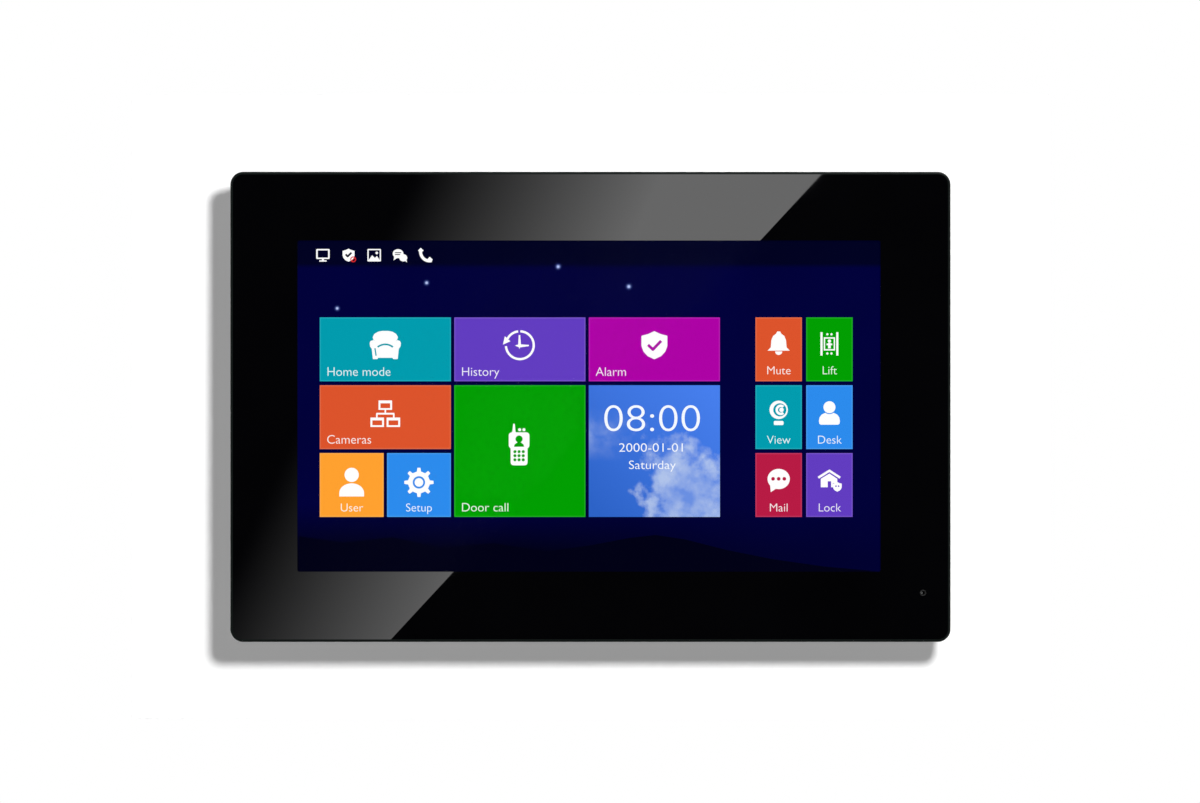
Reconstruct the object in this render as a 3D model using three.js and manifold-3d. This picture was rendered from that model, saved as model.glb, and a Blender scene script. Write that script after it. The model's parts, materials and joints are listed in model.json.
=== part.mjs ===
// A wall-hung video intercom monitor: a flush glass front over a touch display, a moulded case with the
// electronics, and the pressed steel bracket that it hangs on.
// Millimetres. It is built facing the reader, with X to the right, Y up and Z out from the wall. The last
// group turns it so that +Z is up, the wall is the plane Y = 0 and the glass faces -Y.
import * as THREE from "three";
import { mergeVertices } from "three/addons/utils/BufferGeometryUtils.js";
import Module from "manifold-3d";

const wasm = await Module();
wasm.setup();

// ---------------------------------------------------------------- driving dimensions

const PANEL = { width: 191.0, height: 124.7, radius: 3.4, front: 24.0, thick: 1.8 };
const GROUND_EDGE = { width: 0.7, depth: 0.5, steps: 3 };
const WINDOW = { width: 154.6, height: 87.8, x: -0.4, y: 0.2 };
const MIC = {
  x: 88.2, y: -49.3, glassHole: 0.95, bore: 0.57, nozzle: 0.82, sleeve: 3.1, flange: 3.7, capsule: 3.0,
};
const TAPE = { thick: 0.3, inset: 2, innerWidth: 168, innerHeight: 104, micHole: 1.5 };

const LAYER_GAP = 0.05; // between pieces that are stacked or seated on each other
const MOULDED_WALL = 2.0;
const SHEET_STEEL = 0.4;
const CORNER_STEPS = 4;
const ROUND_STEPS = 12;

const BRACKET = { width: 112, height: 84, radius: 4, thick: 1.5 };
const HOOK = { x: 46, ys: [28, -22], width: 8, lip: 5.5, lanced: 9.2, relief: 0.3 };
const LIFT = 8.0; // how far the monitor rises to clear the hooks

const CASE = {
  back: 0.8, // the rear face, off the wall
  shoulder: 7.0, // where the sloping rear edge meets the straight sides
  split: 16.0, // where the rear cover meets the front housing
  slope: 8.3, // how far the rear face is drawn in on every side
  recess: 2.4, // floor of the recess round the bracket
  inset: 0.3, // front housing inside the glass outline
  step: 0.7, // rear cover inside the glass outline
  joint: 0.3, // clearance round the tongue that locates the two halves
  tongue: 0.8, // its thickness
  openingWidth: 166, // in the front housing, behind the glass
  openingHeight: 102.4,
};
const CASE_SCREW = {
  x: 87.5, y: 56.6, boss: 3.2, seat: 9.0, head: 2.5, headHeight: 1.7, shank: 1.25, length: 10.4,
};
const BOARD_SCREW = { boss: 2.6, head: 2.2, headHeight: 1.4, shank: 1.0, length: 5.6 };

const BOARD = { left: -75, right: 75, bottom: -17, top: 52, rear: 12.0, thick: 1.6, radius: 1.5 };
const BOARD_HOLES = [[-70, 47], [70, 47], [-57, -12], [57, -12]];

const BAY = { halfWidth: 32, bottom: -38, top: -20, floor: 14.4, wall: 1.5 };
const JACK = { x: -21, width: 16, mouth: -19.5, length: 18, rear: 3.3, height: 11.7 };
const SOCKET = { width: 11.9, deep: 14, rear: 5.8, front: 13.8, latchWidth: 6.2, latch: 1.7 };
const TERMINAL = { x: 16, pitch: 5.0, poles: 4, mouth: -18.8, length: 12.5, rear: 3.9, margin: 1.0 };
const RELEASE = { width: 3.4, height: 4.6, y: -10.4, top: 2.5, length: 4.1, travel: 1.2, clear: 0.25 };
const RESET = { x: -4, y: -13, body: 6, rear: 8.5, tip: 3.2, stem: 1.7, foot: 9.6, travel: 0.25 };

const SPEAKER = {
  x: -73, y: -21, width: 22, height: 38, back: 3.7, front: 8.2, rim: 2, coil: 4.4, former: 3.9, magnet: 7.6,
};
const CONE = { width: 15, height: 31, edge: 4.45, deep: 1.4, slope: 5.5, skin: 0.6, clear: 0.4, former: 8.6 };
const VENT = { x: 74, length: 16, tall: 1.8, pitch: 4.4, bottom: -2, count: 10 };
const GRILLE = { count: 7, length: 14, endLength: 9 };
const EDGE_SLOT = { perSide: 12, pitch: 5, spread: 7, width: 1.6, from: 8.5, to: 13.5 };
const LABEL = { width: 46, height: 20, radius: 1.5, y: 21, thick: 0.1 };

// ---------------------------------------------------------------- finishes

const FINISHES = {
  blackGlass: { color: 0x050506, roughness: 0.06, metalness: 0.0 },
  sensorGlass: { color: 0x2a2d33, roughness: 0.1, metalness: 0.0 },
  displayGlass: { color: 0x0a0c3a, roughness: 0.12, metalness: 0.0 },
  tape: { color: 0x101010, roughness: 0.8, metalness: 0.0 },
  foam: { color: 0x1a1a1a, roughness: 0.95, metalness: 0.0 },
  housing: { color: 0x17181a, roughness: 0.5, metalness: 0.0 },
  cover: { color: 0x1f2124, roughness: 0.62, metalness: 0.0 },
  steel: { color: 0xb4b7ba, roughness: 0.38, metalness: 1.0 },
  zinc: { color: 0xc3c7ca, roughness: 0.34, metalness: 1.0 },
  film: { color: 0xf2f3f5, roughness: 0.45, metalness: 0.0 },
  acrylic: { color: 0xdfe8ee, roughness: 0.08, metalness: 0.0 },
  flex: { color: 0xb06a1e, roughness: 0.4, metalness: 0.0 },
  board: { color: 0x0f4a2a, roughness: 0.42, metalness: 0.0 },
  chip: { color: 0x141416, roughness: 0.5, metalness: 0.0 },
  connector: { color: 0xe9e4d4, roughness: 0.5, metalness: 0.0 },
  terminal: { color: 0x2f7d46, roughness: 0.48, metalness: 0.0 },
  release: { color: 0xe06a1c, roughness: 0.45, metalness: 0.0 },
  rubber: { color: 0x131313, roughness: 0.88, metalness: 0.0 },
  aluminium: { color: 0xc9cbce, roughness: 0.35, metalness: 1.0 },
  ferrite: { color: 0x3a3a3c, roughness: 0.7, metalness: 0.1 },
  cone: { color: 0x2b2a29, roughness: 0.85, metalness: 0.0 },
  label: { color: 0xdadcdd, roughness: 0.5, metalness: 0.0 },
  lead: { color: 0x9a1c1c, roughness: 0.6, metalness: 0.0 },
};

// ---------------------------------------------------------------- solids

// A closed geometry as a manifold-3d solid.
function solid(geometry) {
  const bare = geometry.clone();
  bare.deleteAttribute("normal");
  bare.deleteAttribute("uv");
  const merged = mergeVertices(bare, 1e-4);
  return new wasm.Manifold(
    new wasm.Mesh({
      numProp: 3,
      vertProperties: merged.attributes.position.array,
      triVerts: new Uint32Array(merged.index.array),
    }),
  );
}

function join(first, ...others) {
  return others.reduce((sum, other) => sum.add(other), first);
}

function cut(body, ...tools) {
  return tools.reduce((rest, tool) => rest.subtract(tool), body);
}

// A named mesh of a solid, added to its group.
function piece(group, name, body, finish) {
  const { numProp, vertProperties, triVerts } = body.getMesh();
  const positions = new Float32Array((vertProperties.length / numProp) * 3);
  for (let i = 0; i * numProp < vertProperties.length; i += 1) {
    positions.set(vertProperties.subarray(i * numProp, i * numProp + 3), i * 3);
  }
  const geometry = new THREE.BufferGeometry();
  geometry.setAttribute("position", new THREE.BufferAttribute(positions, 3));
  geometry.setIndex(new THREE.BufferAttribute(new Uint32Array(triVerts), 1));
  geometry.computeVertexNormals();
  const mesh = new THREE.Mesh(geometry, new THREE.MeshStandardMaterial(FINISHES[finish]));
  mesh.name = name;
  group.add(mesh);
  return mesh;
}

// The outline of a rectangle with round corners, anticlockwise.
function roundedRect(width, height, radius, x = 0, y = 0, steps = CORNER_STEPS) {
  const points = [];
  const corners = [[1, 1], [-1, 1], [-1, -1], [1, -1]];
  corners.forEach(([sx, sy], quarter) => {
    for (let k = 0; k <= steps; k += 1) {
      const angle = (quarter + k / steps) * (Math.PI / 2);
      points.push(new THREE.Vector2(
        x + sx * (width / 2 - radius) + radius * Math.cos(angle),
        y + sy * (height / 2 - radius) + radius * Math.sin(angle),
      ));
    }
  });
  return points;
}

function circle(radius, x = 0, y = 0, steps = ROUND_STEPS) {
  return Array.from({ length: steps }, (_, k) => {
    const angle = ((k + 0.5) / steps) * 2 * Math.PI;
    return new THREE.Vector2(x + radius * Math.cos(angle), y + radius * Math.sin(angle));
  });
}

// Outlines with the same number of points, each at its own height, skinned into one body.
function loft(rings) {
  const count = rings[0].points.length;
  const positions = rings.flatMap(({ points, z }) => points.flatMap((p) => [p.x, p.y, z]));
  const index = [];
  for (let level = 0; level + 1 < rings.length; level += 1) {
    for (let i = 0; i < count; i += 1) {
      const a = level * count + i;
      const b = level * count + ((i + 1) % count);
      index.push(a, b, b + count, a, b + count, a + count);
    }
  }
  const last = (rings.length - 1) * count;
  for (const [a, b, c] of THREE.ShapeUtils.triangulateShape(rings[0].points, [])) {
    index.push(c, b, a);
    index.push(last + a, last + b, last + c);
  }
  const geometry = new THREE.BufferGeometry();
  geometry.setAttribute("position", new THREE.Float32BufferAttribute(positions, 3));
  geometry.setIndex(index);
  return solid(geometry);
}

// An outline given a thickness, from one distance off the wall to another.
function slab(points, from, to) {
  const shape = new THREE.Shape(points);
  const geometry = new THREE.ExtrudeGeometry(shape, { depth: to - from, bevelEnabled: false });
  return solid(geometry.translate(0, 0, from));
}

function block(x, y, z) {
  const geometry = new THREE.BoxGeometry(x[1] - x[0], y[1] - y[0], z[1] - z[0]);
  return solid(geometry.translate((x[0] + x[1]) / 2, (y[0] + y[1]) / 2, (z[0] + z[1]) / 2));
}

function rod(x, y, radius, from, to, steps = ROUND_STEPS) {
  return slab(circle(radius, x, y, steps), from, to);
}

function ring(outer, inner, from, to) {
  return cut(slab(outer, from, to), slab(inner, from - 1, to + 1));
}

// A profile of [radius, height] pairs, anticlockwise, turned about the Z axis.
function turned(profile, steps = ROUND_STEPS) {
  const points = [...profile, profile[0]].map(([r, z]) => new THREE.Vector2(r, z));
  return solid(new THREE.LatheGeometry(points, steps).rotateX(Math.PI / 2));
}

// A strip of constant thickness along a path of [y, z] points, as wide as asked along X.
function ribbon(path, thickness, x) {
  const points = path.map(([y, z]) => new THREE.Vector2(y, z));
  const side = (sign) => points.map((p, i) => {
    const before = points[Math.max(i - 1, 0)];
    const after = points[Math.min(i + 1, points.length - 1)];
    const along = after.clone().sub(before).normalize();
    return new THREE.Vector2(p.x - sign * along.y * thickness / 2, p.y + sign * along.x * thickness / 2);
  });
  const outline = [...side(-1), ...side(1).reverse()];
  const shape = new THREE.Shape(outline);
  const geometry = new THREE.ExtrudeGeometry(shape, { depth: x[1] - x[0], bevelEnabled: false });
  // The shape's plane becomes the YZ plane, and its depth runs along X.
  const turn = new THREE.Matrix4().makeBasis(
    new THREE.Vector3(0, 1, 0),
    new THREE.Vector3(0, 0, 1),
    new THREE.Vector3(1, 0, 0),
  );
  return solid(geometry.applyMatrix4(turn).translate(x[0], 0, 0));
}

// A thin round lead through a few points.
function lead(points, radius) {
  const path = new THREE.CatmullRomCurve3(points.map((p) => new THREE.Vector3(...p)));
  const section = new THREE.Shape(circle(radius, 0, 0, 6));
  return solid(new THREE.ExtrudeGeometry(section, { steps: 12, bevelEnabled: false, extrudePath: path }));
}

// A pan-head screw with a cross recess: its seat is at Z = 0, the head below and the shank above.
function screw({ head, headHeight, shank, length }) {
  const body = turned([
    [0, -headHeight], [head * 0.72, -headHeight], [head, -headHeight * 0.55], [head, 0],
    [shank, 0], [shank, length - shank], [shank * 0.3, length], [0, length],
  ]);
  const arm = head * 0.62;
  const slot = head * 0.13;
  const z = [-headHeight - 1, -headHeight * 0.4];
  return cut(body, block([-arm, arm], [-slot, slot], z), block([-slot, slot], [-arm, arm], z));
}

// ---------------------------------------------------------------- front

const glassBack = PANEL.front - PANEL.thick;
const tapeBack = glassBack - LAYER_GAP - TAPE.thick;
const housingFront = tapeBack - LAYER_GAP;
const housingLedge = housingFront - MOULDED_WALL;

function frontGlass() {
  const { width, height, radius, front } = PANEL;
  const rings = [{ points: roundedRect(width, height, radius), z: glassBack }];
  for (let k = 0; k <= GROUND_EDGE.steps; k += 1) {
    const angle = (k / GROUND_EDGE.steps) * (Math.PI / 2);
    const inset = GROUND_EDGE.width * (1 - Math.cos(angle));
    const points = roundedRect(width - 2 * inset, height - 2 * inset, radius - inset);
    rings.push({ points, z: front - GROUND_EDGE.depth * (1 - Math.sin(angle)) });
  }
  return cut(loft(rings), rod(MIC.x, MIC.y, MIC.glassHole, glassBack - 1, front + 1));
}

function glassTape() {
  const width = PANEL.width - 2 * TAPE.inset;
  const height = PANEL.height - 2 * TAPE.inset;
  const outer = roundedRect(width, height, PANEL.radius - TAPE.inset);
  const inner = roundedRect(TAPE.innerWidth, TAPE.innerHeight, 1);
  const micHole = rod(MIC.x, MIC.y, TAPE.micHole, 0, PANEL.front);
  return cut(ring(outer, inner, tapeBack, glassBack - LAYER_GAP), micHole);
}

const caseScrewSpots = [-1, 0, 1].flatMap((sx) =>
  [-1, 1].map((sy) => [sx * CASE_SCREW.x, sy * CASE_SCREW.y]));

function frontHousing() {
  const width = PANEL.width - 2 * CASE.inset;
  const height = PANEL.height - 2 * CASE.inset;
  const tongue = 2 * (MOULDED_WALL + CASE.step - CASE.inset + CASE.joint);
  const inner = tongue + 2 * CASE.tongue;
  const opening = roundedRect(CASE.openingWidth, CASE.openingHeight, 1, WINDOW.x, WINDOW.y);
  const inside = roundedRect(width - inner, height - inner, 1);
  const outline = roundedRect(width, height, PANEL.radius - CASE.inset);
  const tongueOutline = roundedRect(width - tongue, height - tongue, 1.5);
  const ledge = ring(outline, opening, housingLedge, housingFront);
  const wall = ring(outline, inside, CASE.split, housingLedge);
  const clearance = caseScrewSpots.map(([x, y]) => rod(x, y, CASE_SCREW.boss + 0.5, 0, CASE.split));
  const lip = cut(ring(tongueOutline, inside, CASE.split - 1.4, CASE.split + 0.5), ...clearance);
  const bosses = caseScrewSpots.map(([x, y]) => rod(x, y, CASE_SCREW.boss, CASE.split, housingLedge + 0.5));
  const micRib = rod(MIC.x, MIC.y, MIC.flange + 1, CASE.split + 0.6, housingLedge + 0.5);
  const pilots = caseScrewSpots.map(([x, y]) => rod(x, y, CASE_SCREW.shank + 0.1, 0, housingFront - 1));
  const micPocket = rod(MIC.x, MIC.y, MIC.flange + 0.2, 0, housingLedge);
  const micHole = rod(MIC.x, MIC.y, MIC.glassHole + 0.25, 0, PANEL.front);
  return cut(join(ledge, wall, lip, ...bosses, micRib), ...pilots, micPocket, micHole);
}

// ---------------------------------------------------------------- display module

// Each layer sits behind the one before it: [front, back] off the wall.
function layers(front, thicknesses) {
  const made = {};
  let level = front;
  for (const [name, thickness] of Object.entries(thicknesses)) {
    made[name] = [level - thickness, level];
    level -= thickness + LAYER_GAP;
  }
  return made;
}

// Widths and heights of the layers, all centred behind the window.
const DISPLAY = {
  bezel: [165, 100],
  sensor: [160, 94],
  gasketWindow: [156, 89.6],
  panel: [161, 96],
  sheets: [160, 95],
  guideHalf: 79,
  guideBottom: -45.5,
  guideTop: 47.0,
  ledHalf: 78,
  ledBar: 2.4,
  lip: 0.4, // the bezel's window outside the visible one
};
const FLEX = { thick: 0.15, half: 17, touchFrom: -51, touchTo: -41 };
const stack = layers(glassBack - LAYER_GAP, {
  touch: 0.6, gasket: 0.5, bezel: SHEET_STEEL, panel: 1.3, diffuser: 0.4, guide: 2.0, tray: SHEET_STEEL,
});

function centred([width, height], [from, to]) {
  return block([-width / 2, width / 2], [-height / 2, height / 2], [from, to]);
}

// A notch at the module's top edge, where the display flex leaves it.
function flexNotch(height) {
  const half = FLEX.half + 1;
  return block([-half, half], [height / 2 - 1.2, height / 2 + 1], [0, stack.panel[1]]);
}

function lcdBezel() {
  const [w, h] = DISPLAY.bezel;
  const shell = centred([w, h], [stack.tray[0], stack.bezel[1]]);
  const hollow = centred([w - 2 * SHEET_STEEL, h - 2 * SHEET_STEEL], [0, stack.bezel[0]]);
  const windowSize = [WINDOW.width + 2 * DISPLAY.lip, WINDOW.height + 2 * DISPLAY.lip];
  const window = centred(windowSize, [0, PANEL.front]);
  return cut(shell, hollow, window, flexNotch(h));
}

function backlightTray() {
  const [w, h] = DISPLAY.bezel.map((side) => side - 2 * SHEET_STEEL - 0.4);
  const shell = centred([w, h], [stack.tray[0], stack.diffuser[0]]);
  const hollow = centred([w - 2 * SHEET_STEEL, h - 2 * SHEET_STEEL], [stack.tray[1], PANEL.front]);
  return cut(shell, hollow, flexNotch(h));
}

function displayModule(group) {
  const { sensor, gasketWindow, guideHalf, guideBottom, guideTop, ledHalf, ledBar } = DISPLAY;
  const gasket = cut(centred(sensor, stack.gasket), centred(gasketWindow, [0, PANEL.front]));
  const guide = block([-guideHalf, guideHalf], [guideBottom, guideTop], stack.guide);
  const ledTop = guideBottom - LAYER_GAP;
  piece(group, "touch_sensor", centred(sensor, stack.touch), "sensorGlass");
  piece(group, "display_gasket", gasket, "foam");
  piece(group, "lcd_bezel", lcdBezel(), "steel");
  piece(group, "lcd_panel", centred(DISPLAY.panel, stack.panel), "displayGlass");
  piece(group, "diffuser_sheets", centred(DISPLAY.sheets, stack.diffuser), "film");
  piece(group, "light_guide", guide, "acrylic");
  const bar = block([-ledHalf, ledHalf], [ledTop - ledBar, ledTop], stack.guide);
  piece(group, "backlight_led_bar", bar, "film");
  piece(group, "backlight_tray", backlightTray(), "steel");
}

// The display flex leaves the panel's top edge, wraps the module and drops to the board's front face.
function lcdFlex() {
  const behind = stack.tray[0] - 0.2;
  const path = [
    [48.2, 19.8], [49.6, 19.6], [50.3, 19.0], [50.3, 16.7], [49.7, behind], [34, behind],
    [33, behind - 0.2], [30, boardFront + 1.3], [29, boardFront + 1.1], [25.4, boardFront + 1.1],
  ];
  return ribbon(path, FLEX.thick, [-FLEX.half, FLEX.half]);
}

// The touch flex leaves the sensor's lower edge and passes round the module to the board's front face.
function touchFlex() {
  const behind = stack.tray[0] - 0.2;
  const path = [
    [-47.3, 21.7], [-50.2, 21.4], [-50.7, 21.0], [-50.7, 16.4], [-50.4, behind], [-22, behind],
    [-21, behind - 0.2], [-17, boardFront + 1.3], [-16, boardFront + 1.1], [-12.4, boardFront + 1.1],
  ];
  return ribbon(path, FLEX.thick, [FLEX.touchFrom, FLEX.touchTo]);
}

// ---------------------------------------------------------------- main board

const boardFront = BOARD.rear + BOARD.thick;

function mainBoard() {
  const width = BOARD.right - BOARD.left;
  const height = BOARD.top - BOARD.bottom;
  const outline = roundedRect(width, height, BOARD.radius, 0, (BOARD.top + BOARD.bottom) / 2);
  const notchHalf = JACK.width / 2 + 0.4;
  const notch = block(
    [JACK.x - notchHalf, JACK.x + notchHalf],
    [BOARD.bottom - 1, JACK.mouth + JACK.length + 0.4],
    [0, PANEL.front],
  );
  const holes = BOARD_HOLES.map(([x, y]) => rod(x, y, BOARD_SCREW.shank + 0.3, 0, PANEL.front));
  return cut(slab(outline, BOARD.rear, boardFront), notch, ...holes);
}

// A part soldered to the board's rear face, standing up to its height towards the wall.
function onRear(x, y, width, height, tall) {
  const seat = BOARD.rear - LAYER_GAP;
  return block([x - width / 2, x + width / 2], [y - height / 2, y + height / 2], [seat - tall, seat]);
}

function onFront(x, y, width, height, tall) {
  const seat = boardFront + LAYER_GAP;
  return block([x - width / 2, x + width / 2], [y - height / 2, y + height / 2], [seat, seat + tall]);
}

const PROCESSOR = { x: 14, y: 26, size: 17, tall: 1.4, pad: 14, padTall: 1.5 };
const SHIELD = { x: 16, y: 24, width: 44, height: 34, tall: 3.4, sheet: 0.3 };
const CAPACITOR = { x: -38, ys: [9, -1], radius: 3.6, tall: 6.2 };

// The plain soldered parts: name, finish, then middle, width, height and how far they stand off the board.
const REAR_PARTS = [
  ["memory_chip_1", "chip", 29.5, 31, 8, 12, 1.1],
  ["memory_chip_2", "chip", 29.5, 17, 8, 12, 1.1],
  ["power_inductor", "ferrite", -27, 22, 7.5, 7.5, 4.0],
  ["speaker_connector", "connector", -50, 4, 6, 4.6, 4.2],
  ["microphone_connector", "connector", 66, 0, 6, 4.6, 4.2],
];
const FRONT_PARTS = [
  ["display_connector", "connector", 0, 22.5, 38, 5.4, 1.9],
  ["touch_connector", "connector", -46, -9.6, 13, 5.2, 1.9],
];

function shieldCan() {
  const { x, y, width, height, tall, sheet } = SHIELD;
  const inner = onRear(x, y, width - 2 * sheet, height - 2 * sheet, tall - sheet).translate(0, 0, 0.01);
  return cut(onRear(x, y, width, height, tall), inner);
}

// A can with a crimp near its foot and a rolled foot edge.
function capacitor() {
  const { radius, tall } = CAPACITOR;
  return turned([
    [0, 0], [radius, 0], [radius, tall - 1.6], [radius - 0.3, tall - 1.3],
    [radius, tall - 1.0], [radius, tall - 0.4], [radius - 0.4, tall], [0, tall],
  ]);
}

function networkJack() {
  const { x, width, mouth, length, rear, height } = JACK;
  const shell = block([x - width / 2, x + width / 2], [mouth, mouth + length], [rear, rear + height]);
  const socketY = [mouth - 1, mouth + SOCKET.deep];
  const socket = block([x - SOCKET.width / 2, x + SOCKET.width / 2], socketY, [SOCKET.rear, SOCKET.front]);
  const latch = block(
    [x - SOCKET.latchWidth / 2, x + SOCKET.latchWidth / 2],
    socketY,
    [SOCKET.rear - SOCKET.latch, SOCKET.rear + 0.1],
  );
  return cut(shell, socket, latch);
}

const terminalWidth = TERMINAL.poles * TERMINAL.pitch + 2 * TERMINAL.margin;
const poleXs = Array.from(
  { length: TERMINAL.poles },
  (_, i) => TERMINAL.x + (i - (TERMINAL.poles - 1) / 2) * TERMINAL.pitch,
);

function terminalBlock() {
  const { x, mouth, length, rear } = TERMINAL;
  const half = terminalWidth / 2;
  const body = block([x - half, x + half], [mouth, mouth + length], [rear, BOARD.rear - LAYER_GAP]);
  const wellWidth = RELEASE.width / 2 + RELEASE.clear;
  const wellHeight = RELEASE.height / 2 + RELEASE.clear;
  const wells = poleXs.map((px) => block(
    [px - wellWidth, px + wellWidth],
    [RELEASE.y - wellHeight, RELEASE.y + wellHeight],
    [0, RELEASE.top + RELEASE.length + RELEASE.travel + 0.5],
  ));
  const wireHole = new THREE.CylinderGeometry(1.15, 1.15, 8, 12).translate(0, mouth + 3, 9.9);
  const wires = poleXs.map((px) => solid(wireHole.clone().translate(px, 0, 0)));
  return cut(body, ...wells, ...wires);
}

// A release button with a screwdriver groove across its top. Its top is at Z = 0 and it reaches up in Z.
function releaseButton() {
  const { width, height, length } = RELEASE;
  const body = block([-width / 2, width / 2], [-height / 2, height / 2], [0, length]);
  return cut(body, block([-width, width], [-0.4, 0.4], [-1, 0.5]));
}

function resetSwitch() {
  const body = onRear(RESET.x, RESET.y, RESET.body, RESET.body, BOARD.rear - LAYER_GAP - RESET.rear);
  return cut(body, rod(RESET.x, RESET.y, RESET.stem + 0.2, 0, RESET.foot + RESET.travel + 0.3));
}

function boardAssembly(group) {
  piece(group, "main_board", mainBoard(), "board");
  const { x: chipX, y: chipY, size, tall, pad, padTall } = PROCESSOR;
  piece(group, "processor", onRear(chipX, chipY, size, size, tall), "chip");
  const thermalPad = onRear(chipX, chipY, pad, pad, padTall).translate(0, 0, -tall - LAYER_GAP);
  piece(group, "thermal_pad", thermalPad, "foam");
  piece(group, "shield_can", shieldCan(), "steel");
  for (const [name, finish, ...size] of REAR_PARTS) {
    piece(group, name, onRear(...size), finish);
  }
  for (const [name, finish, ...size] of FRONT_PARTS) {
    piece(group, name, onFront(...size), finish);
  }
  CAPACITOR.ys.forEach((y, i) => {
    const can = piece(group, `capacitor_${i + 1}`, capacitor(), "aluminium");
    can.position.set(CAPACITOR.x, y, BOARD.rear - LAYER_GAP - CAPACITOR.tall);
  });
  piece(group, "network_jack", networkJack(), "steel");
  piece(group, "terminal_block", terminalBlock(), "terminal");
  poleXs.forEach((x, i) => {
    const button = piece(group, `terminal_button_${i + 1}`, releaseButton(), "release");
    button.position.set(x, RELEASE.y, RELEASE.top);
  });
  piece(group, "reset_switch", resetSwitch(), "chip");
  piece(group, "reset_plunger", rod(RESET.x, RESET.y, RESET.stem, RESET.tip, RESET.foot), "rubber");
  BOARD_HOLES.forEach(([x, y], i) => {
    const fastener = piece(group, `board_screw_${i + 1}`, screw(BOARD_SCREW), "zinc");
    fastener.rotation.x = Math.PI;
    fastener.position.set(x, y, boardFront + LAYER_GAP);
  });
}

// ---------------------------------------------------------------- sound

function microphoneBoot() {
  const tip = PANEL.front - 0.35;
  const back = housingLedge - LAYER_GAP;
  const { bore, nozzle, sleeve, flange } = MIC;
  return turned([
    [bore, back - 0.7], [sleeve, back - 0.7], [sleeve, back - 3.4], [flange, back - 3.4], [flange, back],
    [nozzle, back], [nozzle, tip], [bore, tip],
  ]).translate(MIC.x, MIC.y, 0);
}

function microphoneCapsule() {
  const front = housingLedge - LAYER_GAP - 0.75;
  return rod(MIC.x, MIC.y, MIC.capsule, front - 2.2, front);
}

function racetrack(width, height) {
  return roundedRect(width, height, width / 2 - 0.01, SPEAKER.x, SPEAKER.y, 6);
}

function speakerFrame() {
  const { x, y, width, height, back, front, rim, coil } = SPEAKER;
  const bowl = slab(racetrack(width - 2 * rim + 0.4, height - 2 * rim + 0.4), 0, front - 1.0);
  const coilHole = rod(x, y, coil + 0.6, 0, PANEL.front);
  return cut(slab(racetrack(width, height), back, front), bowl, coilHole);
}

// The dish is shallow and stiff, with the voice coil's former at its middle.
function speakerCone() {
  const { width, height, edge, deep, slope, skin } = CONE;
  const floor = edge + deep;
  const dish = loft([
    { points: racetrack(width, height), z: edge },
    { points: racetrack(width - slope, height - slope), z: floor + skin },
  ]);
  const hollow = loft([
    { points: racetrack(width - 0.8, height - 0.8), z: edge - 0.2 },
    { points: racetrack(width - slope - 1, height - slope - 1), z: floor },
  ]);
  const former = rod(SPEAKER.x, SPEAKER.y, SPEAKER.coil, floor + 0.3, CONE.former);
  const formerBore = rod(SPEAKER.x, SPEAKER.y, SPEAKER.former, floor + skin, CONE.former + 1);
  return cut(join(dish, former), hollow, formerBore);
}

function soundParts(group) {
  piece(group, "microphone_boot", microphoneBoot(), "rubber");
  piece(group, "microphone_capsule", microphoneCapsule(), "aluminium");
  const { x, y, width, height, back, front, rim, coil } = SPEAKER;
  const coverInside = CASE.back + MOULDED_WALL;
  const outline = racetrack(width, height);
  const inner = racetrack(width - 2 * rim, height - 2 * rim);
  const coneRoom = racetrack(CONE.width + CONE.clear, CONE.height + CONE.clear);
  const magnetBlank = rod(x, y, SPEAKER.magnet, front + LAYER_GAP, front + 2.4, 24);
  const coilGap = rod(x, y, coil + 0.3, 0, front + 1.2);
  piece(group, "speaker_gasket", ring(outline, inner, coverInside + LAYER_GAP, back - LAYER_GAP), "foam");
  piece(group, "speaker_frame", speakerFrame(), "housing");
  piece(group, "speaker_surround", ring(inner, coneRoom, CONE.edge - 0.05, CONE.edge + 0.35), "rubber");
  piece(group, "speaker_cone", speakerCone(), "cone");
  piece(group, "speaker_magnet", cut(magnetBlank, coilGap), "zinc");
}

function leads(group) {
  const radius = 0.7;
  const speakerRoute = [[-63.6, -6.5, 9.2], [-61, -3, 9.4], [-58, 1, 9.6], [-53.4, 4, 9.8]];
  const microphoneRoute = [
    [88.2, -49.3, 16.6], [88.2, -49.2, 15.6], [86, -40, 13.8], [80.5, -24, 12.2],
    [78.2, -12, 10.6], [75, -4, 9.8], [69.4, 0, 9.8],
  ];
  piece(group, "speaker_lead", lead(speakerRoute, radius), "lead");
  piece(group, "microphone_lead", lead(microphoneRoute, radius), "lead");
}

// ---------------------------------------------------------------- rear cover

const coverWidth = PANEL.width - 2 * CASE.step;
const coverHeight = PANEL.height - 2 * CASE.step;
const coverRadius = PANEL.radius - CASE.step;
const recessInner = CASE.recess + MOULDED_WALL;
const bracketGap = 0.6;

function coverShape(inset, back, front) {
  const w = coverWidth - 2 * inset;
  const h = coverHeight - 2 * inset;
  const radius = Math.max(coverRadius - inset, 0.8);
  return loft([
    { points: roundedRect(w - 2 * CASE.slope, h - 2 * CASE.slope, radius), z: back },
    { points: roundedRect(w, h, radius), z: CASE.shoulder },
    { points: roundedRect(w, h, radius), z: front },
  ]);
}

// The recess takes the bracket with room below it for the lift.
function bracketRecess(grow, from, to) {
  const top = BRACKET.height / 2 + bracketGap + grow;
  const bottom = -BRACKET.height / 2 - bracketGap - LIFT - grow;
  const width = BRACKET.width + 2 * (bracketGap + grow);
  return slab(roundedRect(width, top - bottom, BRACKET.radius + grow, 0, (top + bottom) / 2), from, to);
}

function hookWindows() {
  const half = HOOK.width / 2 + 0.7;
  return [-HOOK.x, HOOK.x].flatMap((x) => HOOK.ys.map((y) =>
    block([x - half, x + half], [y - LIFT - BRACKET.thick - 1.1, y + 0.1], [0, recessInner + 1])));
}

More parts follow.
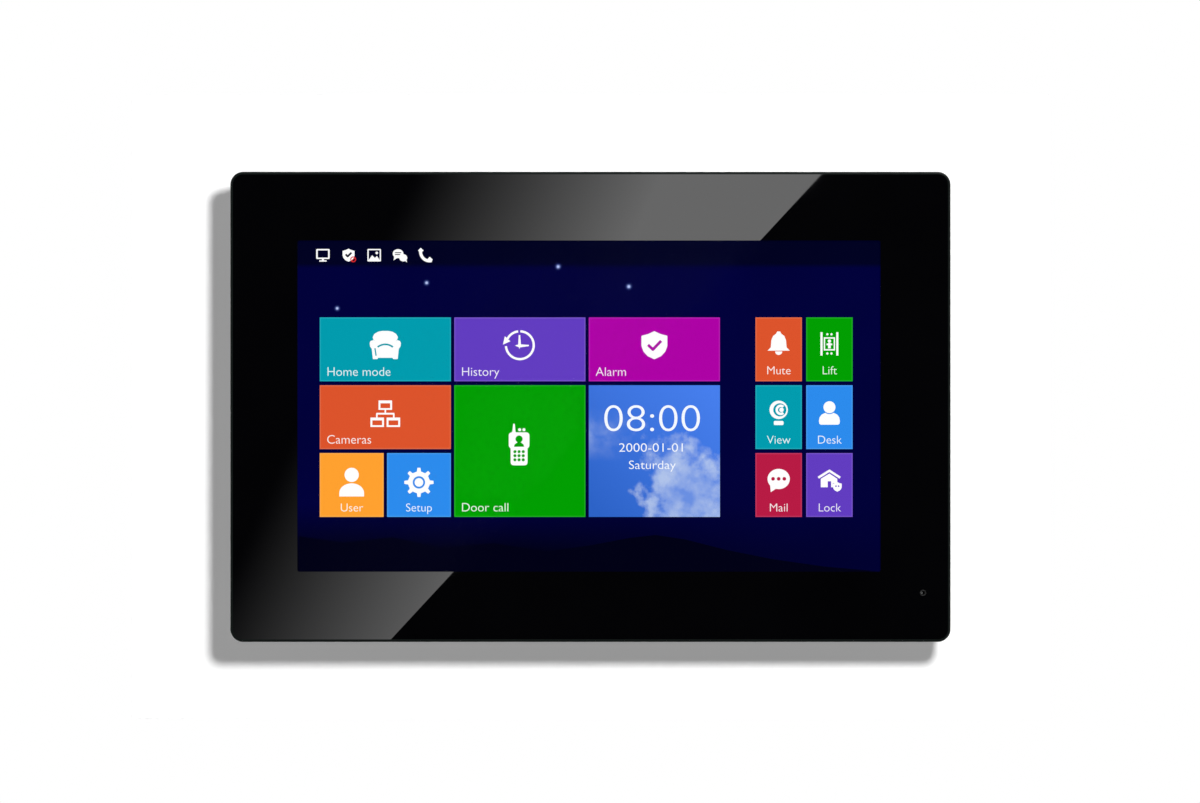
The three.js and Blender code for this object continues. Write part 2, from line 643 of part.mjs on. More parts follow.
function bayShell() {
  const side = BAY.halfWidth + BAY.wall;
  const y = [BAY.bottom - BAY.wall, BAY.top + BAY.wall];
  return block([-side, side], y, [recessInner - 0.5, BAY.floor + BAY.wall]);
}

// The bay, and the openings above it through which the connectors reach it.
function connectorOpenings() {
  const bay = block([-BAY.halfWidth, BAY.halfWidth], [BAY.bottom, BAY.top], [0, BAY.floor]);
  const clear = 0.4;
  const opening = (x, width, top, front) => {
    const half = width / 2 + clear;
    return block([x - half, x + half], [BAY.top - 0.1, top + clear], [0, front]);
  };
  const jackFront = JACK.rear + JACK.height + clear;
  const jack = opening(JACK.x, JACK.width, JACK.mouth + JACK.length, jackFront);
  const terminal = opening(TERMINAL.x, terminalWidth, TERMINAL.mouth + TERMINAL.length, BOARD.rear);
  const reset = rod(RESET.x, RESET.y, RESET.stem + 0.9, 0, recessInner + 1, 20);
  return [bay, jack, terminal, reset];
}

function oblong(x, y, width, height, from, to) {
  return slab(roundedRect(width, height, Math.min(width, height) / 2 - 0.01, x, y, 2), from, to);
}

function rearSlots() {
  const to = CASE.back + MOULDED_WALL + 1;
  const vents = Array.from({ length: VENT.count }, (_, i) =>
    oblong(VENT.x, VENT.bottom + i * VENT.pitch, VENT.length, VENT.tall, 0, to));
  const last = GRILLE.count - 1;
  const grille = Array.from({ length: GRILLE.count }, (_, i) => {
    const length = i === 0 || i === last ? GRILLE.endLength : GRILLE.length;
    return oblong(SPEAKER.x, SPEAKER.y + (i - last / 2) * VENT.pitch, length, VENT.tall, 0, to);
  });
  return [...vents, ...grille];
}

// Slots through the top and bottom walls let warm air rise through the case.
function edgeSlots() {
  const { perSide, pitch, spread, width, from, to } = EDGE_SLOT;
  const reach = coverHeight / 2;
  return [-1, 1].flatMap((side) => Array.from({ length: perSide }, (_, i) => {
    const x = (i - (perSide - 1) / 2) * pitch + (i < perSide / 2 ? -spread : spread);
    const y = [side * (reach - MOULDED_WALL - 0.6), side * (reach + 1)].sort((a, b) => a - b);
    return block([x - width / 2, x + width / 2], y, [from, to]);
  }));
}

function rearCover() {
  const bosses = caseScrewSpots.map(([x, y]) => rod(x, y, CASE_SCREW.boss, 0, CASE.split));
  const boardBosses = BOARD_HOLES.map(([x, y]) => rod(x, y, BOARD_SCREW.boss, 0, BOARD.rear - LAYER_GAP));
  const speakerRib = cut(
    slab(racetrack(SPEAKER.width + 3, SPEAKER.height + 3), 0, 5.5),
    slab(racetrack(SPEAKER.width + 0.6, SPEAKER.height + 0.6), -1, 6),
  );
  const hollow = cut(
    coverShape(MOULDED_WALL, CASE.back + MOULDED_WALL, CASE.split + 1),
    bracketRecess(MOULDED_WALL, 0, recessInner),
    bayShell(),
    speakerRib,
    ...bosses,
    ...boardBosses,
  );
  const seats = caseScrewSpots.map(([x, y]) => rod(x, y, CASE_SCREW.head + 0.5, 0, CASE_SCREW.seat, 20));
  const holes = caseScrewSpots.map(([x, y]) => rod(x, y, CASE_SCREW.shank + 0.25, 0, PANEL.front));
  const pilots = BOARD_HOLES.map(([x, y]) => rod(x, y, BOARD_SCREW.shank + 0.1, 7, PANEL.front));
  return cut(
    coverShape(0, CASE.back, CASE.split - 0.15),
    hollow,
    bracketRecess(0, 0, CASE.recess),
    ...hookWindows(),
    ...connectorOpenings(),
    ...rearSlots(),
    ...edgeSlots(),
    ...seats,
    ...holes,
    ...pilots,
  );
}

function caseParts(group) {
  piece(group, "rear_cover", rearCover(), "cover");
  const { width, height, radius, y: labelY, thick } = LABEL;
  const labelFront = CASE.recess - LAYER_GAP;
  const label = slab(roundedRect(width, height, radius, 0, labelY, 3), labelFront - thick, labelFront);
  piece(group, "rating_label", label, "label");
  caseScrewSpots.forEach(([x, y], i) => {
    const fastener = piece(group, `case_screw_${i + 1}`, screw(CASE_SCREW), "zinc");
    fastener.position.set(x, y, CASE_SCREW.seat - LAYER_GAP);
  });
}

// ---------------------------------------------------------------- wall bracket

const CABLE_WINDOW = { width: 52, bottom: -36, top: -7 };
const LABEL_WINDOW = { width: 52, bottom: 8, top: 34 };
const WALL_SCREW = { spacing: 60, slot: 8, radius: 2.25, cornerX: 37, cornerY: 37 };

function bracketWindow({ width, bottom, top }) {
  return slab(roundedRect(width, top - bottom, 3, 0, (top + bottom) / 2), -1, BRACKET.thick + 1);
}

function hook(x, y) {
  const lipInner = recessInner + 0.3;
  const half = HOOK.width / 2;
  const stem = block([x - half, x + half], [y - BRACKET.thick, y], [0, lipInner + BRACKET.thick]);
  const lip = block([x - half, x + half], [y - 0.1, y + HOOK.lip], [lipInner, lipInner + BRACKET.thick]);
  return join(stem, lip);
}

function wallBracket() {
  const plate = slab(roundedRect(BRACKET.width, BRACKET.height, BRACKET.radius), 0, BRACKET.thick);
  const spots = [-HOOK.x, HOOK.x].flatMap((x) => HOOK.ys.map((y) => [x, y]));
  const half = HOOK.width / 2 + HOOK.relief;
  const through = BRACKET.thick + 1;
  const lances = spots.map(([x, y]) => block([x - half, x + half], [y, y + HOOK.lanced], [-1, through]));
  const { spacing, slot, radius, cornerX, cornerY } = WALL_SCREW;
  const slots = [-1, 1].map((side) => oblong(side * spacing / 2, 0, slot, 2 * radius, -1, through));
  const corners = [-1, 1].flatMap((sx) =>
    [-1, 1].map((sy) => rod(sx * cornerX, sy * cornerY, radius, -1, through)));
  const windows = [bracketWindow(CABLE_WINDOW), bracketWindow(LABEL_WINDOW)];
  const punched = cut(plate, ...windows, ...lances, ...slots, ...corners);
  return join(punched, ...spots.map(([x, y]) => hook(x, y)));
}

// ---------------------------------------------------------------- assembly

function videoIntercomMonitor() {
  const root = new THREE.Group();
  root.rotation.x = Math.PI / 2;

  const bracket = new THREE.Group();
  piece(bracket, "wall_bracket", wallBracket(), "zinc");

  const monitor = new THREE.Group();
  piece(monitor, "front_glass", frontGlass(), "blackGlass");
  piece(monitor, "glass_tape", glassTape(), "tape");
  piece(monitor, "front_housing", frontHousing(), "housing");

  const display = new THREE.Group();
  display.position.set(WINDOW.x, WINDOW.y, 0);
  displayModule(display);
  piece(display, "display_flex", lcdFlex(), "flex");
  piece(display, "touch_flex", touchFlex(), "flex");
  monitor.add(display);

  const board = new THREE.Group();
  boardAssembly(board);
  monitor.add(board);

  soundParts(monitor);
  leads(monitor);
  caseParts(monitor);

  root.add(bracket, monitor);
  return root;
}

export default videoIntercomMonitor();
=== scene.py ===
"""Looks of the wall-mounted video intercom monitor: black-bordered glass, lit tiled display, textured rear
cover, plated wall bracket and connectors.

The frame is in metres: x runs to the right, z up, and y into the wall, so a depth off the wall is -y.
"""

import json
import math

import bmesh
import bpy
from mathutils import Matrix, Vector
from mathutils.geometry import tessellate_polygon


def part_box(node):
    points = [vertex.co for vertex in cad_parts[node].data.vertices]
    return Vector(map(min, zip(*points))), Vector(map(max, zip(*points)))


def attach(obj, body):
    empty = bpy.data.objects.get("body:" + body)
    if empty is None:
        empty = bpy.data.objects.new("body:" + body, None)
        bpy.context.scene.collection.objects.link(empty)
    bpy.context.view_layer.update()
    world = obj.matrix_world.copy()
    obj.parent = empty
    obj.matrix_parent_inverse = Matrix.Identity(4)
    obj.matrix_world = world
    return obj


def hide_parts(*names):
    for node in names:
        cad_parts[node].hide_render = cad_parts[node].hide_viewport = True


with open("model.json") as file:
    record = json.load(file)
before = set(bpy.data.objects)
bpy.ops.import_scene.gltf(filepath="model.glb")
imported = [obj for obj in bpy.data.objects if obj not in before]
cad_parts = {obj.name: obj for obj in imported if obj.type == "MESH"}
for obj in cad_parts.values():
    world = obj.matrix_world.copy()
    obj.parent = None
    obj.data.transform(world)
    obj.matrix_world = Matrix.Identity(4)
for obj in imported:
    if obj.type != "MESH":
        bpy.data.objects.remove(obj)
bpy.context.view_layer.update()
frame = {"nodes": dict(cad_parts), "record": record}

MM = 0.001


def box_mm(node):
    """Lowest and highest corner of a CAD node as (x, depth, z) in millimetres, nearest the wall first."""
    low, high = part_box(node)
    return (
        Vector((low.x, -high.y, low.z)) / MM,
        Vector((high.x, -low.y, high.z)) / MM,
    )


def place(x, z, depth):
    """A point of the frame from millimetres across, up, and off the wall."""
    return Vector((x, -depth, z)) * MM


# ---- Where things are, in millimetres ----

GLASS_LOW, GLASS_HIGH = box_mm("front_glass")
GLASS_WIDTH = GLASS_HIGH.x - GLASS_LOW.x
GLASS_HEIGHT = GLASS_HIGH.z - GLASS_LOW.z
GLASS_FRONT = GLASS_HIGH.y
GLASS_BACK = GLASS_LOW.y
GLASS_CORNER = 3.4
EDGE_WIDTH = 0.7
EDGE_DEPTH = 0.5
EDGE_STEPS = 8
BACK_BEVEL = 0.15

SENSOR_LOW, SENSOR_HIGH = box_mm("touch_sensor")
WINDOW_X = (SENSOR_LOW.x + SENSOR_HIGH.x) / 2
WINDOW_Z = (SENSOR_LOW.z + SENSOR_HIGH.z) / 2
WINDOW_WIDTH = 154.6
WINDOW_HEIGHT = 87.8
WINDOW_CORNER = 0.5
WINDOW_GAP = 0.03
WINDOW_LEFT = WINDOW_X - WINDOW_WIDTH / 2
WINDOW_TOP = WINDOW_Z + WINDOW_HEIGHT / 2

MIC_X = 88.2
MIC_Z = -49.3
MIC_RADIUS = 0.95

# ---- Outlines: lists of (across, up) points in millimetres ----


def arc(x, y, radius, start, end, steps):
    """Points along an arc, its angles in degrees, both ends taken."""
    turns = [math.radians(start + (end - start) * i / steps) for i in range(steps + 1)]
    return [(x + radius * math.cos(t), y + radius * math.sin(t)) for t in turns]


def disc(x, y, radius, steps=28):
    return arc(x, y, radius, 0, 360 - 360 / steps, steps - 1)


def box(left, low, right, high):
    return [(left, low), (right, low), (right, high), (left, high)]


def soft_box(left, low, right, high, radius, steps=5):
    """A rectangle with rounded corners."""
    return (
        arc(right - radius, low + radius, radius, -90, 0, steps)
        + arc(right - radius, high - radius, radius, 0, 90, steps)
        + arc(left + radius, high - radius, radius, 90, 180, steps)
        + arc(left + radius, low + radius, radius, 180, 270, steps)
    )


def centred_box(x, y, width, height, radius, steps=5):
    return soft_box(x - width / 2, y - height / 2, x + width / 2, y + height / 2, radius, steps)


def band(x, y, outer, inner, start, end, steps=28):
    """Part of a ring."""
    return arc(x, y, outer, start, end, steps) + arc(x, y, inner, end, start, steps)


def dome(x, base, half_width, height, steps=16):
    """The upper half of an ellipse, flat along its base."""
    turns = [math.pi * i / steps for i in range(steps + 1)]
    return [(x + half_width * math.cos(t), base + height * math.sin(t)) for t in turns]


def stroke(points, width):
    """A line of that width: one outline for each straight run, and a disc at each bend."""
    outlines = []
    for (x0, y0), (x1, y1) in zip(points, points[1:]):
        length = math.hypot(x1 - x0, y1 - y0)
        across, up = -(y1 - y0) / length * width / 2, (x1 - x0) / length * width / 2
        outlines.append([
            (x0 - across, y0 - up),
            (x1 - across, y1 - up),
            (x1 + across, y1 + up),
            (x0 + across, y0 + up),
        ])
    outlines += [disc(x, y, width / 2, 10) for x, y in points[1:-1]]
    return outlines


# ---- Meshes ----


def add_slab(mesh, loops, front, back, slot=0, at=place):
    """Adds a closed flat solid to a bmesh: an outline, with any holes after it, between two depths."""
    triangles = tessellate_polygon([[Vector((x, y, 0)) for x, y in loop] for loop in loops])
    points = [point for loop in loops for point in loop]
    rows = [[mesh.verts.new(at(x, y, depth)) for x, y in points] for depth in (front, back)]
    faces = [mesh.faces.new([row[i] for i in corner]) for row in rows for corner in triangles]
    first = 0
    for loop in loops:
        for i in range(len(loop)):
            a, b = first + i, first + (i + 1) % len(loop)
            faces.append(mesh.faces.new((rows[0][a], rows[0][b], rows[1][b], rows[1][a])))
        first += len(loop)
    for face in faces:
        face.material_index = slot
    return faces


def add_object(name, data):
    """Puts an object in the scene."""
    made = bpy.data.objects.new(name, data)
    bpy.context.scene.collection.objects.link(made)
    return made


def finish_mesh(mesh, name, body, materials):
    """Turns a bmesh into a piece that rides on a body."""
    bmesh.ops.recalc_face_normals(mesh, faces=mesh.faces)
    data = bpy.data.meshes.new(name)
    mesh.to_mesh(data)
    mesh.free()
    for material in materials:
        data.materials.append(material)
    piece = add_object(name, data)
    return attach(piece, body)


# ---- Node trees ----

EVENLY = (1, 1, 1)


def linear(colour):
    """Scene-linear values of a colour given on the 0 to 255 display scale."""
    shares = [value / 255 for value in colour]
    return tuple(s / 12.92 if s <= 0.04045 else ((s + 0.055) / 1.055) ** 2.4 for s in shares)


def shade(colour, factor):
    return tuple(min(1.0, value * factor) for value in colour[:3])


class Nodes:
    """A node tree being filled. A value given to a node is plain, or the output of another node."""

    def __init__(self, tree):
        self.tree = tree

    def feed(self, socket, value):
        if isinstance(value, bpy.types.NodeSocket):
            self.tree.links.new(value, socket)
        else:
            socket.default_value = (*value[:3], 1) if socket.type == "RGBA" else value

    def node(self, kind, inputs=None, **settings):
        made = self.tree.nodes.new(kind)
        for name, value in settings.items():
            setattr(made, name, value)
        for name, value in (inputs or {}).items():
            self.feed(made.inputs[name], value)
        return made

    def remap(self, value, low, high, to_low, to_high, shape="LINEAR"):
        inputs = {"Value": value, "From Min": low, "From Max": high, "To Min": to_low, "To Max": to_high}
        made = self.node("ShaderNodeMapRange", inputs, clamp=True, interpolation_type=shape)
        return made.outputs["Result"]

    def maths(self, how, *values):
        return self.node("ShaderNodeMath", dict(enumerate(values)), operation=how).outputs[0]

    def axes(self, vector):
        """The X, Y and Z outputs of a vector."""
        return self.node("ShaderNodeSeparateXYZ", {"Vector": vector}).outputs


class Finish(Nodes):
    """A material being built around one Principled shader, whose sockets are named with underscores."""

    def __init__(self, name, **values):
        self.material = bpy.data.materials.new(name)
        self.material.use_nodes = True
        super().__init__(self.material.node_tree)
        self.shader = self.tree.nodes["Principled BSDF"]
        self.paint(**values)

    def paint(self, **values):
        """Feeds sockets of the shader, and gives back the material."""
        for name, value in values.items():
            self.feed(self.shader.inputs[name.replace("_", " ")], value)
        return self.material

    def show(self, shader):
        """Makes another shader the one that is seen."""
        self.feed(self.tree.nodes["Material Output"].inputs["Surface"], shader.outputs[0])
        return self.material

    def coordinates(self, stretch=EVENLY):
        """Object coordinates in metres, multiplied by stretch."""
        source = self.node("ShaderNodeTexCoord").outputs["Object"]
        return self.node("ShaderNodeMapping", {"Vector": source, "Scale": stretch}).outputs["Vector"]

    def noise(self, size, detail=3, stretch=EVENLY, roughness=0.55):
        """Noise whose features are about that many millimetres across."""
        inputs = {
            "Vector": self.coordinates(stretch),
            "Scale": 1 / (size * MM),
            "Detail": detail,
            "Roughness": roughness,
        }
        return self.node("ShaderNodeTexNoise", inputs).outputs["Fac"]

    def uneven(self, size, low, high, detail=3):
        """A value that wanders between two others over about that many millimetres."""
        return self.remap(self.noise(size, detail), 0.3, 0.7, low, high)

    def cells(self, size, output="Distance"):
        """Voronoi cells about that many millimetres across."""
        inputs = {"Vector": self.coordinates(), "Scale": 1 / (size * MM)}
        return self.node("ShaderNodeTexVoronoi", inputs).outputs[output]

    def mix(self, factor, first, second, how="MIX"):
        """Mixes two scene-linear colours."""
        inputs = {0: factor, 6: first, 7: second}
        return self.node("ShaderNodeMix", inputs, data_type="RGBA", blend_type=how).outputs[2]

    def shaded(self, factor, colour, low, high):
        """A colour between two shades of itself."""
        return self.mix(factor, shade(colour, low), shade(colour, high))

    def rounded(self, radius):
        """A normal that rounds every edge by about that many millimetres."""
        bevel = self.node("ShaderNodeBevel", {"Radius": radius * MM}, samples=4)
        return bevel.outputs["Normal"]

    def edge(self, radius):
        """1 near the edges of the mesh within that many millimetres, 0 on its flats."""
        flat = self.node("ShaderNodeNewGeometry").outputs["Normal"]
        inputs = {0: self.rounded(radius), 1: flat}
        dot = self.node("ShaderNodeVectorMath", inputs, operation="DOT_PRODUCT")
        return self.remap(dot.outputs["Value"], 0.75, 0.98, 1, 0)

    def bump(self, height, depth, strength, normal=None):
        """A normal from a height that spans that many millimetres."""
        inputs = {"Height": height, "Distance": depth * MM, "Strength": strength}
        if normal is not None:
            inputs["Normal"] = normal
        return self.node("ShaderNodeBump", inputs).outputs["Normal"]


# ---- Materials ----

GOLD_PAD = (0.7, 0.48, 0.16)
INK = (0.12, 0.12, 0.13)
FRAME_INSET = 1.6
FRAME_LINE = 0.1


def moulded(name, colour, roughness, grain, relief, edge_highlight=1.8, rounding=0.25):
    """Moulded plastic: fine eroded texture, slightly uneven tone, rounded edges with a painted highlight,
    their colour painted lighter.
    """
    look = Finish(name)
    base = look.shaded(look.uneven(28, 0, 1), colour, 0.82, 1.2)
    return look.paint(
        # painted highlight: the rounded edges are painted lighter than the flats
        Base_Color=look.mix(look.edge(rounding * 1.4), base, shade(colour, edge_highlight)),
        Roughness=look.uneven(9, roughness - 0.07, roughness + 0.07),
        Normal=look.bump(look.noise(grain, detail=2), relief, 0.8, look.rounded(rounding)),
    )


def metal(name, colour, roughness, packing=12, scratch=0.25, relief=0.006, rounding=0.12):
    """Rolled or drawn metal: fine level lines, packed that many times closer upwards, edges painted brighter
    as a painted highlight.
    """
    look = Finish(name, Metallic=1.0)
    lines = look.noise(scratch, detail=4, stretch=(1, 1, packing))
    base = look.shaded(look.uneven(14, 0, 1), colour, 0.86, 1.1)
    return look.paint(
        # painted highlight: the rounded edges are painted brighter than the flats
        Base_Color=look.mix(look.edge(rounding * 1.5), base, shade(colour, 1.35)),
        Roughness=look.remap(lines, 0.3, 0.7, roughness - 0.1, roughness + 0.12),
        Normal=look.bump(lines, relief, 0.6, look.rounded(rounding)),
    )


def plated(name, colour):
    """Zinc-plated sheet: faint crystals, a blue and yellow passivation tint, handling marks."""
    look = Finish(name, Metallic=1.0)
    red, green, blue = colour
    tint = look.remap(look.noise(22, detail=2), 0.35, 0.65, 0, 1)
    cool = (red * 0.9, green * 0.98, blue * 1.08)
    warm = (red * 1.1, green * 1.04, blue * 0.86)
    base = look.mix(tint, cool, warm)
    crystals = look.cells(3.2, "Color")
    level = look.remap(crystals, 0, 1, 0.9, 1.08)
    base = look.mix(0.6, base, look.mix(1.0, base, level, "MULTIPLY"))
    marks = look.noise(0.5, detail=5, stretch=(1, 1, 9))
    satin = look.remap(crystals, 0, 1, 0.27, 0.39)
    peel = look.noise(1.1, detail=3)
    return look.paint(
        # painted highlight: the rounded edges are painted lighter than the flats
        Base_Color=look.mix(look.edge(0.2), base, shade(colour, 1.3)),
        Roughness=look.maths("ADD", satin, look.remap(marks, 0.45, 0.7, 0, 0.14)),
        Normal=look.bump(peel, 0.012, 0.6, look.rounded(0.16)),
    )


def soft_matte(name, colour, pore, relief, roughness=0.85):
    """Foam, tape or paper: open pores with painted shade in them, and no shine."""
    look = Finish(name)
    pores = look.cells(pore)
    base = look.shaded(look.uneven(6, 0, 1), colour, 0.75, 1.3)
    return look.paint(
        # painted shade: the pores are painted darker, where shade would fall in them
        Base_Color=look.mix(look.remap(pores, 0, 0.35, 0.6, 0), base, shade(colour, 0.35)),
        Roughness=look.remap(pores, 0, 0.6, roughness + 0.08, roughness - 0.06),
        Normal=look.bump(pores, relief, 0.7),
    )


def rubber(name, colour):
    """Rubber: fine pores, and paler than its own colour where light catches them."""
    return soft_matte(name, shade(colour, 2.5), 0.25, 0.015, 0.75)


def circuit(name, colour):
    """Printed board under solder mask: tracks, pads with gold, a faint weave."""
    look = Finish(name)
    upright = {"Vector": look.coordinates(), "Rotation": (math.radians(90), 0, 0)}
    inputs = {
        "Vector": look.node("ShaderNodeMapping", upright).outputs["Vector"],
        "Scale": 260,
        "Mortar Size": 0.012,
        "Color1": (0, 0, 0),
        "Color2": (0, 0, 0),
        "Mortar": (1, 1, 1),
    }
    tracks = look.node("ShaderNodeTexBrick", inputs, offset=0.37, squash=1.0)
    base = look.shaded(look.uneven(12, 0, 1), colour, 0.8, 1.2)
    base = look.mix(tracks.outputs["Color"], base, shade(colour, 2.2))
    pads = look.remap(look.cells(2.6), 0.1, 0.12, 1, 0)
    return look.paint(
        Base_Color=look.mix(pads, base, GOLD_PAD),
        Metallic=pads,
        Roughness=look.uneven(1.5, 0.28, 0.45),
        Normal=look.bump(tracks.outputs["Fac"], 0.03, 0.7),
    )


def flexible_circuit(name, colour):
    """Amber film with parallel copper tracks showing through."""
    look = Finish(name)
    inputs = {"Vector": look.coordinates(), "Scale": 420, "Distortion": 0}
    tracks = look.node("ShaderNodeTexWave", inputs, bands_direction="X")
    lines = look.remap(tracks.outputs["Fac"], 0.45, 0.6, 0, 1)
    base = look.shaded(lines, colour, 0.7, 1.25)
    return look.paint(
        Base_Color=look.mix(look.remap(look.noise(5), 0.4, 0.7, 0, 0.35), base, shade(colour, 0.5)),
        Roughness=look.uneven(2, 0.25, 0.42),
        Normal=look.bump(lines, 0.02, 0.6),
    )


def clear(name, tint, coverage):
    """Clear anti-reflective sheet: it hides almost nothing of what is behind it."""
    look = Finish(name, Alpha=coverage, Specular_IOR_Level=0.25)
    smears = look.noise(18, detail=4, stretch=(1, 1, 0.5))
    return look.paint(
        Base_Color=look.shaded(smears, tint, 0.7, 1.2),
        Roughness=look.remap(smears, 0.35, 0.7, 0.03, 0.075),
    )


def black_print():
    """Polished glass over a black printed border."""
    look = Finish("glass_black_print")
    smears = look.noise(35, detail=4)
    return look.paint(
        Base_Color=look.mix(smears, (0.0004, 0.0004, 0.0006), (0.0012, 0.0012, 0.0016)),
        Roughness=look.remap(smears, 0.4, 0.75, 0.0, 0.02),
    )


def ground_edge():
    """The satin ground edge of the black-bordered glass."""
    look = Finish("glass_ground_edge", Specular_IOR_Level=0.2)
    grind = look.noise(0.12)
    return look.paint(
        Base_Color=look.mix(grind, (0.0025, 0.0035, 0.0032), (0.008, 0.011, 0.01)),
        Roughness=look.remap(grind, 0.3, 0.7, 0.24, 0.4),
        Normal=look.bump(grind, 0.004, 0.5),
    )


def label_paper(name, colour):
    """A satin label, left blank, with a printed frame line."""
    low, high = box_mm("rating_label")
    look = Finish(name)
    axes = look.axes(look.coordinates())
    past = []
    for axis, near, far in (("X", low.x, high.x), ("Z", low.z, high.z)):
        away = look.maths("ABSOLUTE", look.maths("SUBTRACT", axes[axis], (near + far) / 2 * MM))
        past.append(look.maths("SUBTRACT", away, ((far - near) / 2 - FRAME_INSET) * MM))
    from_line = look.maths("ABSOLUTE", look.maths("MAXIMUM", *past))
    ink = look.remap(from_line, FRAME_LINE * MM, FRAME_LINE * 1.4 * MM, 1, 0)
    fibre = look.noise(0.4, detail=4, stretch=(1, 1, 3))
    return look.paint(
        Base_Color=look.mix(ink, look.shaded(fibre, colour, 0.93, 1.04), INK),
        Roughness=look.remap(fibre, 0.3, 0.7, 0.42, 0.55),
        Normal=look.bump(fibre, 0.006, 0.5),
    )


# material slot: how its look is made, and the numbers that it takes after its name and colour
FINISHES = {
    "black_tape": (soft_matte, 0.8, 0.01, 0.7),
    "housing_plastic": (moulded, 0.46, 0.3, 0.02),
    "cover_plastic": (moulded, 0.52, 0.4, 0.045, 2.0, 0.3),
    "sensor_glass": (clear, 0.004),
    "display_glass": (moulded, 0.2, 0.5, 0.002),
    "foam": (soft_matte, 0.35, 0.08),
    "sheet_steel": (metal, 0.34),
    "zinc_plated_steel": (plated,),
    "zinc_screw": (metal, 0.28, 1, 0.3, 0.01, 0.08),
    "white_film": (soft_matte, 0.6, 0.01, 0.6),
    "clear_acrylic": (moulded, 0.15, 0.6, 0.004),
    "flex_circuit": (flexible_circuit,),
    "circuit_board": (circuit,),
    "chip_resin": (moulded, 0.55, 0.2, 0.015),
    "ferrite": (soft_matte, 0.3, 0.02, 0.6),
    "can_aluminium": (metal, 0.3, 6, 0.4),
    "connector_plastic": (moulded, 0.42, 0.3, 0.01),
    "jack_shell": (metal, 0.3, 10, 0.3),
    "terminal_plastic": (moulded, 0.4, 0.3, 0.01, 1.5),
    "release_plastic": (moulded, 0.4, 0.3, 0.01, 1.4),
    "plunger_plastic": (moulded, 0.45, 0.3, 0.01),
    "black_rubber": (rubber,),
    "lead_sleeve": (moulded, 0.4, 0.5, 0.01),
    "cone_paper": (soft_matte, 0.5, 0.04, 0.9),
    "label_film": (label_paper,),
}
SMOOTH_ANGLE = 34


def look_of(slot, colour):
    """The material of one slot, in that colour where its look takes one."""
    if slot == "cover_glass":
        return black_print()
    finish, *settings = FINISHES[slot]
    return finish(slot + "_look", colour, *settings)


def dress_cad_nodes():
    """Gives every CAD node the finish of its slot, and smooth normals where its facets are a curve."""
    looks = {
        entry["slot"]: look_of(entry["slot"], tuple(entry["base_color"][:3]))
        for entry in frame["record"]["materials"]
    }
    for part in frame["record"]["subparts"]:
        node = frame["nodes"][part["node"]]
        for slot in node.material_slots:
            slot.material = looks[part["material_slot"]]
        smooth_curves(node)


def smooth_curves(node):
    """Joins the facets of a CAD node, and splits them again only along real edges."""
    for attribute in ("custom_normal", "sharp_face"):
        found = node.data.attributes.get(attribute)
        if found:
            node.data.attributes.remove(found)
    node.data.polygons.foreach_set("use_smooth", [True] * len(node.data.polygons))
    node.modifiers.new("join_facets", "WELD").merge_threshold = 0.001 * MM
    node.modifiers.new("keep_edges", "EDGE_SPLIT").split_angle = math.radians(SMOOTH_ANGLE)


# ---- Cover glass ----


def glass_outline(inset):
    width, height = GLASS_WIDTH - 2 * inset, GLASS_HEIGHT - 2 * inset
    return centred_box(0, 0, width, height, GLASS_CORNER - inset, 12)


def window_outline(inset=0.0):
    width, height = WINDOW_WIDTH - 2 * inset, WINDOW_HEIGHT - 2 * inset
    return centred_box(WINDOW_X, WINDOW_Z, width, height, WINDOW_CORNER - inset)


def glass_border():
    """The black-printed part of the cover glass: a flat face, a rounded ground edge, window and mic hole."""
    mesh = bmesh.new()
    holes = [window_outline(), disc(MIC_X, MIC_Z, MIC_RADIUS, 40)]
    turns = [math.pi / 2 * i / EDGE_STEPS for i in range(EDGE_STEPS + 1)]
    profile = [
        (EDGE_WIDTH * (1 - math.sin(t)), GLASS_FRONT - EDGE_DEPTH * (1 - math.cos(t))) for t in turns
    ]
    profile += [(0.0, GLASS_BACK + BACK_BEVEL), (BACK_BEVEL, GLASS_BACK)]
    rings = [
        [mesh.verts.new(place(x, z, depth)) for x, z in glass_outline(inset)] for inset, depth in profile
    ]
    for outer, inner in zip(rings[1:], rings):
        for i in range(len(outer)):
            j = (i + 1) % len(outer)
            face = mesh.faces.new((outer[i], outer[j], inner[j], inner[i]))
            face.material_index = 1
            face.smooth = True
    walls = []
    for ring, (inset, depth) in ((rings[0], profile[0]), (rings[-1], profile[-1])):
        loops = [glass_outline(inset)] + holes
        triangles = tessellate_polygon([[Vector((x, z, 0)) for x, z in loop] for loop in loops])
        inner = [[mesh.verts.new(place(x, z, depth)) for x, z in loop] for loop in holes]
        points = ring + [vertex for loop in inner for vertex in loop]
        for corner in triangles:
            mesh.faces.new([points[i] for i in corner])
        walls.append(inner)
    for front, back in zip(*walls):
        for i in range(len(front)):
            j = (i + 1) % len(front)
            mesh.faces.new((front[i], front[j], back[j], back[i]))
    return finish_mesh(mesh, "cover_glass_border", "monitor", [black_print(), ground_edge()])


def glass_window():
    """The clear, anti-reflective part of the cover glass over the display."""
    mesh = bmesh.new()
    add_slab(mesh, [window_outline(WINDOW_GAP)], GLASS_FRONT, GLASS_BACK)
    look = clear("glass_window_clear", (0.01, 0.01, 0.014), 0.006)
    return finish_mesh(mesh, "cover_glass_window", "monitor", [look])


# ---- Metal inside the connectors ----

CONTACTS = 8
CONTACT_PITCH = 1.02
CONTACT_WIDTH = 0.4
JACK_WALL = 1.35
# one contact in side view: how far it leans into the socket, and how far up from the mouth
CONTACT_SIDE = ((0, 2.2), (0, 2.6), (3.0, 11.6), (3.5, 11.8), (3.5, 11.4), (3.2, 11.2), (0.35, 2.2))

TERMINALS = 4
WIRE_HOLE_DEPTH = 9.9
CLAMP_RADIUS = 1.05
CLAMP_GAP = 0.06
CLAMP_RISE = 4.2
CLAMP_THICKNESS = 0.3
CLAMP_ENDS = (12, 168)


def sideways(depth, z, x):
    """A point for an outline that is drawn in side view and made thick across."""
    return place(x, z, depth)


def upwards(x, depth, z):
    """A point for an outline that is drawn in plan and made thick upwards."""
    return place(x, z, depth)


